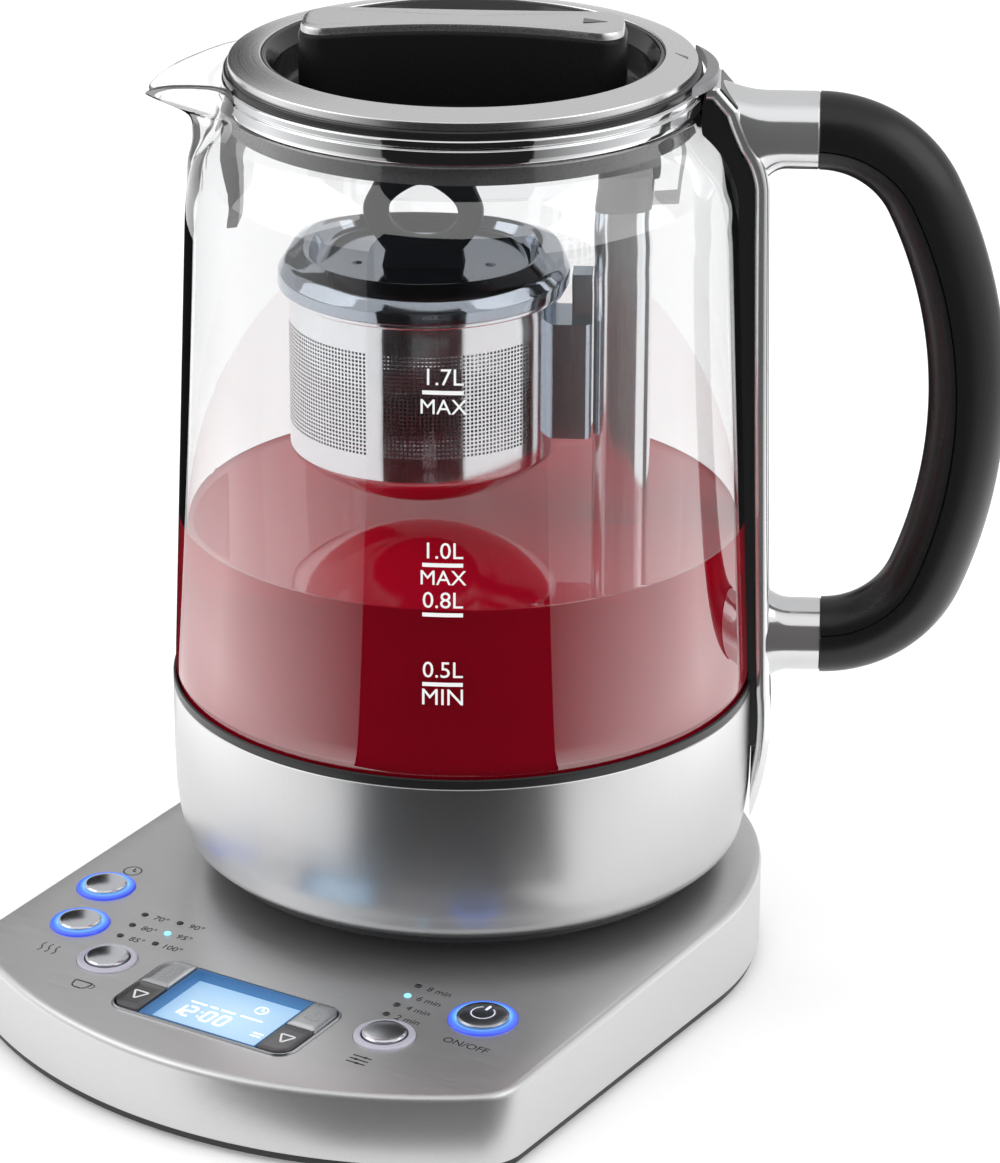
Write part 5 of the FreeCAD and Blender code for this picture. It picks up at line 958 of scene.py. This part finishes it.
def cloudy(name, colour, roughness, clear):
    """Translucent moulding: a grained plastic of which the share `clear` lets what lies behind it through."""
    material = grained(name, colour, roughness, 0.6, tint=0.04)
    tree = material.node_tree
    out = next(node for node in tree.nodes if node.type == "OUTPUT_MATERIAL")
    passing = wire(tree, "BsdfTransparent", Color=(0.95, 0.95, 0.95, 1))
    mixed = wire(tree, "MixShader", Fac=clear, i1=tree.nodes["Principled BSDF"].outputs[0], i2=passing)
    tree.links.new(mixed, out.inputs["Surface"])
    return material


chrome = grained("chrome", (0.8, 0.805, 0.815), 0.06, 0.5, tint=0.02, unevenness=0.02, relief=0, metallic=1.0)
collar_profile = eased([
    (SKIRT_R, 203.1, 0), (COLLAR_R - 0.2, 203.1, 0.5), (COLLAR_R, 204.4, 1.0), (COLLAR_R, 206.6, 0.4),
    (COLLAR_R - 0.55, 207.0, 0.3), (COLLAR_R - 0.1, 207.5, 0.3), (COLLAR_R - 0.1, COLLAR_TOP, 0.8),
    (SKIRT_R - 1.5, COLLAR_TOP, 0.3), (SKIRT_R - 1.5, 208.7, 0), (SKIRT_R, 208.6, 0)])
shape("collar_ring", looped(spun(collar_profile)), chrome, "jug", "bright_chrome", ["collar"])
dress(cloudy("skirt_grey", (0.17, 0.17, 0.175), 0.3, 0.1), "collar_skirt")
dress(cloudy("stay_clear", (0.72, 0.72, 0.73), 0.25, 0.55), "post_stay")

# -----
# Handle bracket: a chromed strap cast in one curve from the collar over the shoulder and down the glass,
# with two sleeves that take the grip, on a black rubber strip; a grey tongue covers its top behind the lid.
STRAP_W = 19.0
STRAP_T = 3.7
STRAP_POINTS = (          # x, z of its outer line: three points of each arc, from the shoulder down to the foot
    (72.9, 194.4), (76.0, 188.4), (77.2, 181.0), (78.6, 114.0), (80.6, 45.9), (80.2, 25.9), (76.6, 11.0))
SLEEVE_TOP_Z = 196.1
SLEEVE_BOT_Z = 59.7
SLEEVE_TOP_R = 9.8
SLEEVE_BOT_R = 9.4
SLEEVE_TOP_ROOT, SLEEVE_TOP_END = 75.2, 89.5
SLEEVE_BOT_ROOT, SLEEVE_BOT_END = 79.4, 93.4
SLEEVE_WALL = 1.7
SLEEVE_FLARE = 3.0


def arc_through(start, middle, end, steps):
    """Points on the circle through three points, from the first to the last."""
    a, b, c = (np.array(p, float) for p in (start, middle, end))
    centre = np.linalg.solve(2 * np.array([b - a, c - a]), [b @ b - a @ a, c @ c - a @ a])
    first, last = (math.atan2(*(p - centre)[::-1]) for p in (a, c))
    t = first + np.linspace(0, 1, steps) * ((last - first + math.pi) % (2 * math.pi) - math.pi)
    return centre + np.linalg.norm(a - centre) * np.stack([np.cos(t), np.sin(t)], -1)


def outwards(line):
    """Unit normals of a line in its plane, on the side away from the jug's axis."""
    along = np.gradient(line, axis=0)
    normals = np.column_stack([along[:, 1], -along[:, 0]]) / np.linalg.norm(along, axis=1)[:, None]
    return normals * np.sign(normals[len(line) // 2, 0])


def sleeve(root, end, z, r):
    """A sleeve along X: round where it takes the grip, drawn out along the strap at its root, which follows the strap's
    line: x = end - (end - x0) (end - strap) / (end - root)."""
    reach = np.linspace(0, 1, 12)
    lip = [r, r - 0.35, r - SLEEVE_WALL, r - SLEEVE_WALL, 0.0]
    x = np.concatenate([[root], root + 6.5 * reach, [end - 0.35, end, end, root + 6.0, root]])
    tall = np.concatenate([[0.0], r + SLEEVE_FLARE * (1 - reach) ** 2.4, lip])
    wide = np.concatenate([[0.0], np.full(12, r), lip])
    a = np.linspace(0, 2 * np.pi, 72, endpoint=False)[:, None]
    up = z + tall * np.sin(a)
    order = np.argsort(strap_line[:, 1])
    strap_x = np.interp(up, strap_line[order, 1], strap_line[order, 0]) - 0.8
    return on_jug(np.stack([end - (end - x) * (end - strap_x) / (end - root), wide * np.cos(a), up], -1))


shoulder = arc_through((69.2, 203.4), (70.9, 198.8), STRAP_POINTS[0], 12)
slope = eased([(61.0, COLLAR_TOP, 0), (64.0, COLLAR_TOP, 1.2), (*shoulder[0], 1.3), (*shoulder[3], 0)], closed=False,
              steps=5)
strap_line = np.concatenate([slope, shoulder[4:]] + [
    arc_through(*STRAP_POINTS[i:i + 3], steps)[1:] for i, steps in ((0, 12), (2, 40), (4, 18))])
strap_out = outwards(strap_line)
section = rounded(STRAP_W, STRAP_T, 1.75, 8)
x = strap_line[:, :1] + strap_out[:, :1] * (section[:, 1] - STRAP_T / 2)
z = strap_line[:, 1:] + strap_out[:, 1:] * (section[:, 1] - STRAP_T / 2)
limit = np.where(z > BAND_TOP, wall_radius(z, -0.15), BAND_R + 0.1)     # it never reaches into the glass, the band
limit = np.where(z > 202.0, COLLAR_R + 0.1, limit)                      # or the collar
strap = capped(np.stack([np.maximum(x, limit), np.broadcast_to(section[:, 0], x.shape), z], -1))
strap_chrome = grained("strap_chrome", (0.8, 0.805, 0.815), 0.13, 0.5, tint=0.02, unevenness=0.03, relief=0,
                       metallic=0.85)
shape("bracket_strap", [(on_jug(strap), False, True)], strap_chrome, "jug", "bright_chrome", ["handle_bracket"])
shape("bracket_sleeves", [sleeve(SLEEVE_TOP_ROOT, SLEEVE_TOP_END, SLEEVE_TOP_Z, SLEEVE_TOP_R),
                          sleeve(SLEEVE_BOT_ROOT, SLEEVE_BOT_END, SLEEVE_BOT_Z, SLEEVE_BOT_R)],
      strap_chrome, "jug", "bright_chrome", ["handle_sleeves"])
dress(grained("inlay_grey", (0.05, 0.05, 0.053), 0.25, 0.4, relief=0.005), "bracket_inlay")
dress(grained("tab_grey", (0.3, 0.3, 0.31), 0.32, 0.3, tint=0.05, metallic=0.7), "thumb_tab")
dress(seal_black, "bracket_seal")
dress(zinc, "handle_core", "lead_screw")

# -----
# Grip: two black moulded halves round a steel core, bent to a bow; their parting line runs along the
# inner side as a fine groove.
GRIP_R = 9.85
GRIP_PART = 3.0           # the parting plane lies this far inside the centre line
GROOVE_DEEP = 0.42
GROOVE_HALF = 0.03
GROOVE_TURN = 1.6         # degrees round the section that the groove takes from each half
BEND_TOP_R = 29.7
BEND_BOT_R = 28.6
BEND_TOP = np.array([SLEEVE_TOP_END, SLEEVE_TOP_Z - BEND_TOP_R])
BEND_BOT = np.array([SLEEVE_BOT_END, SLEEVE_BOT_Z + BEND_BOT_R])
BEND_LEAVE = 26.0         # degrees over the horizontal at which the upper bend runs into the bow


def grip_line():
    """Centre line of the grip and its normals: upper bend, a bow tangent to both bends, and the lower bend."""
    u = np.array([math.cos(math.radians(BEND_LEAVE)), math.sin(math.radians(BEND_LEAVE))])
    w = BEND_TOP + BEND_TOP_R * u - BEND_BOT
    bow_r = (BEND_BOT_R ** 2 - w @ w) / (2 * (BEND_BOT_R - w @ u))
    bow = BEND_TOP + (BEND_TOP_R - bow_r) * u
    meet = math.degrees(math.atan2(*(BEND_BOT - bow)[::-1]))
    bends = [(BEND_TOP, BEND_TOP_R, 90.0, BEND_LEAVE, 34), (bow, bow_r, BEND_LEAVE, meet, 60),
             (BEND_BOT, BEND_BOT_R, meet, -90.0, 50)]
    lines = [arc(*centre, r, a, b, steps)[k > 0:] for k, (centre, r, a, b, steps) in enumerate(bends)]
    normals = [arc(0, 0, 1.0, a, b, steps)[k > 0:] for k, (_, _, a, b, steps) in enumerate(bends)]
    return np.concatenate(lines), np.concatenate(normals)


def swept(line, outs, section):
    """A section of (outwards, sideways) points carried along a line of (x, z) points, closed at both ends."""
    x = line[:, :1] + outs[:, :1] * section[:, 0]
    z = line[:, 1:] + outs[:, 1:] * section[:, 0]
    return capped(np.stack([x, np.broadcast_to(section[:, 1], x.shape), z], -1))


split = math.degrees(math.acos(-GRIP_PART / GRIP_R))
floor_y = GRIP_R * math.sin(math.radians(split)) - GROOVE_DEEP
grip_black = grained("grip_black", (0.009, 0.009, 0.0095), 0.3, 0.5, tint=0.2, unevenness=0.03, relief=0, IOR=1.45)
for name, start, stop, steps, side, node in (
        ("grip_front", -split + GROOVE_TURN, split - GROOVE_TURN, 44, 1, "grip_outer"),
        ("grip_back", split + GROOVE_TURN, 360 - split - GROOVE_TURN, 30, -1, "grip_inner")):
    parting = -GRIP_PART + side * GROOVE_HALF
    half = np.concatenate([arc(0, 0, GRIP_R, start, stop, steps),
                           [(parting, side * floor_y), (parting, -side * floor_y)]])
    shape(name, [(on_jug(swept(*grip_line(), half)), False, True)], grip_black, "jug", "black_plastic", [node],
          sharp=50)

# -----
# Basket lift: a stainless post with a lead screw and magnet carriage inside, a grey moulded cap and a
# translucent stay that ties it to the collar.
POST_X = 40.8
POST_W = 14.6
POST_D = 16.0
POST_FOOT = 45.5
POST_TOP = 174.7
CAP_TOP = 186.4
LUG_TOP = 196.2

post_steel = grained("post_steel", (0.86, 0.88, 0.9), 0.16, (0.3, 0.3, 12.0), tint=0.04, unevenness=0.04,
                     relief=0.0008, metallic=1.0)
cap_grey = grained("cap_grey", (0.2, 0.2, 0.205), 0.45, 0.5, tint=0.06)
post_line = rounded(POST_W, POST_D, 5.0, 10) + (POST_X, 0)
shape("post_tube", on_jug(standing(post_line, POST_FOOT, POST_TOP - 0.2, (0.97, 0.97, POST_TOP))), post_steel, "jug",
      "mesh_steel", ["lift_post"])
cap = standing(post_line, POST_TOP + 0.02, POST_TOP + 1.2, *((share, share, CAP_TOP - down) for share, down in (
    (0.95, 1.2), (0.9, 0.3), (0.84, 0.0), (0.2, 0.0))))
lug_line = rounded(5.2, 7.0, 1.4, 5) + (POST_X + POST_W / 2 - 1.6, 0)
lug = standing(lug_line, CAP_TOP - 2.0, LUG_TOP - 0.6, (0.8, 0.85, LUG_TOP))
shape("post_cap_moulding", [on_jug(cap), on_jug(lug)], cap_grey, "jug", "dark_grey_plastic", ["post_cap"])
dress(grained("magnet_grey", (0.2, 0.2, 0.21), 0.5, 0.5), "magnet_carriage", "basket_magnet")

# -----
# Tea basket: a deep drawn cup with a domed bottom, its wall etched through with four windows of fine
# square holes; a bracket with a magnet hangs it on the post.
BASKET_X = -10.0
BASKET_R = 34.5
BASKET_T = 0.7
BASKET_TOP = 154.8
BASKET_BOT = 111.5
BASKET_DOME_Z = 98.0
BASKET_RIM_R = 36.6
RIM_MEET_R = 35.4         # where the rolled rim meets the inner face
MESH_LOW = 118.6
MESH_HIGH = 146.0
MESH_PANELS = ((34.7, 103.0), (110.2, 176.4), (183.6, 249.8), (257.0, 325.3))       # turns of the windows in degrees
MESH_PITCH = 1.05
HOLE_SHARE = 0.6


def lattice(low, high, pitch):
    """Lines of a row of bars and holes of about the given pitch: edges of the holes between the two ends."""
    count = round((high - low) / pitch)
    step = (high - low) / count
    starts = low + (np.arange(count) + (1 - HOLE_SHARE) / 2) * step
    return np.concatenate([[low], np.stack([starts, starts + HOLE_SHARE * step], 1).ravel(), [high]])


def cup_side(inset, levels, rim):
    """Profile of one face of the cup, from the middle of its domed bottom to the rim, and where its wall begins. The
    dome is a sphere through the middle and the foot: x = s sin a, z = dome + s (1 - cos a)."""
    r, drop = BASKET_R - inset, BASKET_BOT - BASKET_DOME_Z - inset
    sphere = (r * r + drop * drop) / (2 * drop)
    a = np.linspace(0, math.asin(r / sphere), 16)[:-1]
    dome = np.column_stack([sphere * np.sin(a), BASKET_DOME_Z + inset + sphere * (1 - np.cos(a))])
    foot = eased([(*dome[-1], 0), (r, BASKET_BOT, 2.2), (r, MESH_LOW - 1.0, 0)], closed=False)[1:-1]
    wall = np.column_stack([np.full(len(levels), r), levels])
    return np.concatenate([dome, foot, wall, rim]), len(dome) + len(foot)


def perforated():
    """Corners and faces of the cup: an outer and an inner face on one grid, left out at the holes, whose sides join
    them."""
    turns, open_column = [], []
    for k, (start, stop) in enumerate(MESH_PANELS):
        lines = lattice(start, stop, math.degrees(MESH_PITCH / BASKET_R))
        last = k == len(MESH_PANELS) - 1
        after = MESH_PANELS[0][0] + 360 if last else MESH_PANELS[k + 1][0]
        gap = np.linspace(stop, after, 15 if last else 3)[1:-1]
        turns += [lines, gap]
        open_column += [i % 2 == 1 for i in range(len(lines) - 1)] + [False] * (len(gap) + 1)
    a = np.radians(np.concatenate(turns))
    levels = lattice(MESH_LOW, MESH_HIGH, MESH_PITCH)
    holes = np.array(open_column)[:, None] & (np.arange(len(levels) - 1) % 2 == 1)
    within = BASKET_R - BASKET_T
    outer_rim = eased([(BASKET_R, 150.0, 0), (BASKET_R, 153.4, 0.8), (BASKET_RIM_R, 153.6, 0.5),
                       (BASKET_RIM_R, BASKET_TOP, 0.3), (RIM_MEET_R, BASKET_TOP, 0)], closed=False)
    inner_rim = [(within, 152.0), (within, BASKET_TOP - 0.3), (within + 0.3, BASKET_TOP), (RIM_MEET_R, BASKET_TOP)]
    i, j = np.nonzero(holes)
    k = (i + 1) % len(a)
    corners, faces, edges, count = [], [], [], 0
    for inset, rim in ((0.0, outer_rim), (BASKET_T, inner_rim)):
        profile, at = cup_side(inset, levels, rim)
        columns = len(profile)
        corners.append((turned_at(profile, a) + (BASKET_X, 0, 0)).reshape(-1, 3))
        grid = quads(len(a), columns, True, False, count).reshape(len(a), columns - 1, 4)
        closed = np.ones(grid.shape[:2], bool)
        closed[:, at:at + holes.shape[1]] = ~holes
        faces.append(grid[closed])
        edges.append([count + u * columns + at + v for u, v in ((i, j), (k, j), (k, j + 1), (i, j + 1))])
        count += len(corners[-1])
    out, into = edges
    faces += [np.stack([out[n], out[(n + 1) % 4], into[(n + 1) % 4], into[n]], -1) for n in range(4)]
    return np.concatenate(corners), np.concatenate(faces)


basket_steel = grained("basket_steel", (0.9, 0.91, 0.93), 0.12, (0.3, 0.3, 10.0), tint=0.03, unevenness=0.04,
                       relief=0.0006, metallic=1.0)
cup_corners, cup_faces = perforated()
cup_mesh = bpy.data.meshes.new("strainer_cup")
cup_mesh.from_pydata(on_jug(cup_corners).tolist(), [], cup_faces.tolist())
piece(cup_mesh, basket_steel, "basket", "mesh_steel", ["basket_cup"])
# The bracket's blue-grey tint is a painted reflection, put into the polished steel's own colour.
dress(grained("bracket_steel_painted_blue_reflection", (0.46, 0.52, 0.6), 0.14, (0.4, 0.4, 8.0), tint=0.03, unevenness=0.03, relief=0.0008,
              metallic=1.0), "basket_bracket")

# -----
# Lid of the basket: polished pressed steel with a dish and two vents, lifted by a ring knob of grey
# silicone.
BLID_R = 37.3
BLID_TOP = 163.4
BLID_T = 0.8
BLID_DISH_R = 29.2
BLID_DISH_Z = 158.6
BLID_COLLAR_R = 33.0      # it drops into the cup by this collar
BLID_COLLAR_IN_R = 32.2
VENT_AT = 17.0
VENT_R = 1.3
KNOB_Z = 173.0
KNOB_R = 15.2
KNOB_HOLE_R = 8.8
KNOB_T = 6.0
KNOB_FOOT_W = 21.0
KNOB_FOOT_Z = BLID_DISH_Z + 0.02

# The lid's colour is its steel grey, darkened and tinted blue-grey by a painted reflection of the dark navy it mirrors.
lid_steel = grained("lid_steel", (0.48, 0.52, 0.58), 0.07, 0.4, tint=0.03, unevenness=0.02, relief=0, metallic=1.0)
blid_top = eased([
    (0.0, BLID_DISH_Z, 0), (BLID_DISH_R - 1.8, BLID_DISH_Z, 2.0), (BLID_DISH_R, BLID_TOP - 0.8, 1.0),
    (BLID_DISH_R + 1.4, BLID_TOP, 0.8), (BLID_R - 1.9, BLID_TOP - 2.4, 3.5), (BLID_R, BASKET_TOP + 3.2, 2.0),
    (BLID_R, BASKET_TOP + 0.1, 0.3), (BLID_R - 0.9, BASKET_TOP + 0.1, 0)], closed=False)
blid_under = eased([
    (BLID_R - 0.9, BASKET_TOP + 0.9, 0), (BLID_COLLAR_R, BASKET_TOP + 0.9, 0.3), (BLID_COLLAR_R, BASKET_TOP - 3.6, 0),
    (BLID_COLLAR_IN_R, BASKET_TOP - 3.6, 0), (BLID_COLLAR_IN_R, BASKET_TOP + 1.6, 0),
    (BLID_R - 2.6, BASKET_TOP + 3.0, 0.5), (BLID_DISH_R + 1.2, BLID_TOP - BLID_T, 0.5),
    (BLID_DISH_R - 0.9, BLID_DISH_Z - BLID_T, 1.0), (0.0, BLID_DISH_Z - BLID_T, 0)], closed=False)
pressing = turned(np.concatenate([blid_top, blid_under]), 128) + (BASKET_X, 0, 0)
basket_lid = shape("basket_lid_pressing", on_jug(pressing), lid_steel, "basket_lid", "lid_steel", ["basket_lid"])
vents = [standing(arc(BASKET_X + side * VENT_AT, 0, VENT_R, 0, 360, 21)[:-1], 150, 170) for side in (-1, 1)]
punched(basket_lid, shape("vent_punch", [on_jug(vent) for vent in vents], lid_steel, "basket_lid", "lid_steel"))

silicone = grained("silicone", (0.018, 0.022, 0.029), 0.5, 0.5, tint=0.06, relief=0.004, IOR=1.28)
half = KNOB_T / 2
hoop = eased([(KNOB_HOLE_R, -half, 1.5), (KNOB_R, -half, 1.5), (KNOB_R, half, 1.5), (KNOB_HOLE_R, half, 1.5)])
r_cos, r_sin, y = np.moveaxis(turned(hoop, 96), -1, 0)      # the hoop stands upright: its axis runs along Y
hoop = np.stack([BASKET_X + r_cos, y, np.maximum(KNOB_Z + r_sin, KNOB_FOOT_Z)], -1)
foot = standing(rounded(KNOB_FOOT_W, KNOB_T, 1.2, 4) + (BASKET_X, 0), KNOB_FOOT_Z, (0.97, 1, BLID_DISH_Z + 1.2),
                (0.9, 0.97, BLID_DISH_Z + 4.4), (0.8, 0.8, BLID_DISH_Z + 5.2))
shape("ring_knob", [looped(on_jug(hoop)), on_jug(foot)], silicone, "basket_lid", "grey_silicone", ["basket_knob"])

# -----
# Lid of the jug: a glossy black moulding with a dished middle, a satin silver ring laid on it, and a waisted
# finger bar whose top is a brushed plate.
LID_R = 60.0
LID_FOOT = 200.0
LID_FLANGE_TOP = 211.4
LID_PLUG_R = 53.2
RING_OUT_R = 58.8
RING_IN_R = 50.5
RING_IN_Z = 215.1
RING_OUT_Z = 213.5
DISH_R = 46.5
DISH_FLOOR = 203.0
BAR_L = 82.0
BAR_END_W = 21.6
BAR_MID_W = 15.0
BAR_CORNER = 7.5
BAR_ARCH = 1.1            # its ends are lower than its middle by this
BAR_TOP = 221.6
PLATE_TOP = 223.8


def bar_outline(inset):
    """Outline of the finger bar: straight ends with rounded corners, and long hollow sides to a narrower waist."""
    x, y, waist, c = BAR_L / 2 - inset, BAR_END_W / 2 - inset, BAR_MID_W / 2 - inset, BAR_CORNER - inset
    q = c * (1 - math.sqrt(0.5))
    quarter = arc_through((x, y - c), (x - q, y - q), (x - c, y), 8)
    side = arc_through((x - c, y), (0, waist), (c - x, y), 41)[1:-1]
    half = np.concatenate([quarter, side, (quarter * (-1, 1))[::-1]])
    return np.concatenate([half, -half])


def arched(points):
    """Lowers the upper part of the bar towards its ends: by the arch times (2 x / length) squared."""
    share = np.clip((points[..., 2] - DISH_FLOOR) / (BAR_TOP - DISH_FLOOR), 0, 1)
    points[..., 2] -= BAR_ARCH * share * (2 * points[..., 0] / BAR_L) ** 2
    return points


def bar_block(*levels):
    """A block between outlines of the bar, each at its (inset, z), arched."""
    return arched(capped([at_height(bar_outline(inset), z) for inset, z in levels]).swapaxes(0, 1))


lid_black = grained("lid_black", (0.012, 0.012, 0.013), 0.16, 0.8, tint=0.1, unevenness=0.03, relief=0.003)
ring_satin = grained("ring_satin", (0.84, 0.84, 0.85), 0.26, 0.25, tint=0.05, unevenness=0.04, relief=0.002,
                     lathe=True, metallic=1.0)
bar_black = grained("bar_black", (0.009, 0.009, 0.01), 0.3, 0.5, tint=0.1, relief=0.002, IOR=1.25)
bar_brushed = grained("bar_brushed", (0.8, 0.8, 0.805), 0.3, (12.0, 0.25, 0.25), tint=0.06, unevenness=0.05,
                      relief=0.003, metallic=1.0)
tick_dark = grained("tick_dark", (0.12, 0.12, 0.125), 0.4, 0.3)
lid_profile = eased([
    (0.0, LID_FOOT, 0), (LID_PLUG_R - 0.8, LID_FOOT, 0), (LID_PLUG_R, LID_FOOT + 0.8, 0.5), (LID_PLUG_R, COLLAR_TOP, 0),
    (LID_R, COLLAR_TOP + 0.02, 0.3), (LID_R, LID_FLANGE_TOP, 0.6), (RING_IN_R - 0.1, LID_FLANGE_TOP, 0),
    (RING_IN_R - 0.1, RING_IN_Z - 0.4, 0.3), (RING_IN_R - 1.2, RING_IN_Z - 0.7, 0.8),
    (DISH_R + 0.6, LID_FLANGE_TOP - 0.6, 1.2), (DISH_R, DISH_FLOOR, 2.4), (0.0, DISH_FLOOR, 0)], closed=False)
shape("lid_moulding", spun(lid_profile), lid_black, "lid", "black_gloss", ["lid_body"])
dress(seal_black, "lid_gasket")
silver = eased([(RING_IN_R, LID_FLANGE_TOP + 0.02, 0), (RING_OUT_R, LID_FLANGE_TOP + 0.02, 0.1),
                (RING_OUT_R, RING_OUT_Z, 0.5), (RING_IN_R, RING_IN_Z, 0.4)])
shape("lid_silver_ring", looped(spun(silver)), ring_satin, "lid", "silver_ring", ["lid_ring"])
tick = standing(np.array([(52.8, 2.4), (56.2, 0.9), (56.2, -1.1)]), RING_IN_Z, RING_IN_Z + 0.05)
tick[..., 2] += (RING_OUT_Z - RING_IN_Z) * (tick[..., 0] - RING_IN_R) / (RING_OUT_R - RING_IN_R)
shape("ring_tick", on_jug(tick), tick_dark, "lid", "silver_ring")
bar = bar_block((0.0, DISH_FLOOR + 0.02), (0.0, BAR_TOP - 1.2), (0.2, BAR_TOP - 0.5), (0.7, BAR_TOP), (2.0, BAR_TOP))
shape("finger_bar", on_jug(bar), bar_black, "lid", "black_gloss", ["lid_bar"])
plate = bar_block((0.7, BAR_TOP), (0.7, PLATE_TOP - 1.1), (0.95, PLATE_TOP - 0.45), (1.5, PLATE_TOP - 0.1),
                  (2.3, PLATE_TOP), (3.4, PLATE_TOP))
shape("finger_bar_plate", on_jug(plate), bar_brushed, "lid", "silver_ring", ["lid_bar_plate"])
arrow = standing(np.array([(30.0, 2.0), (36.0, 0.0), (30.0, -2.0)]), PLATE_TOP - 0.03, PLATE_TOP + 0.04)
shape("bar_arrow", on_jug(arched(arrow)), tick_dark, "lid", "silver_ring")
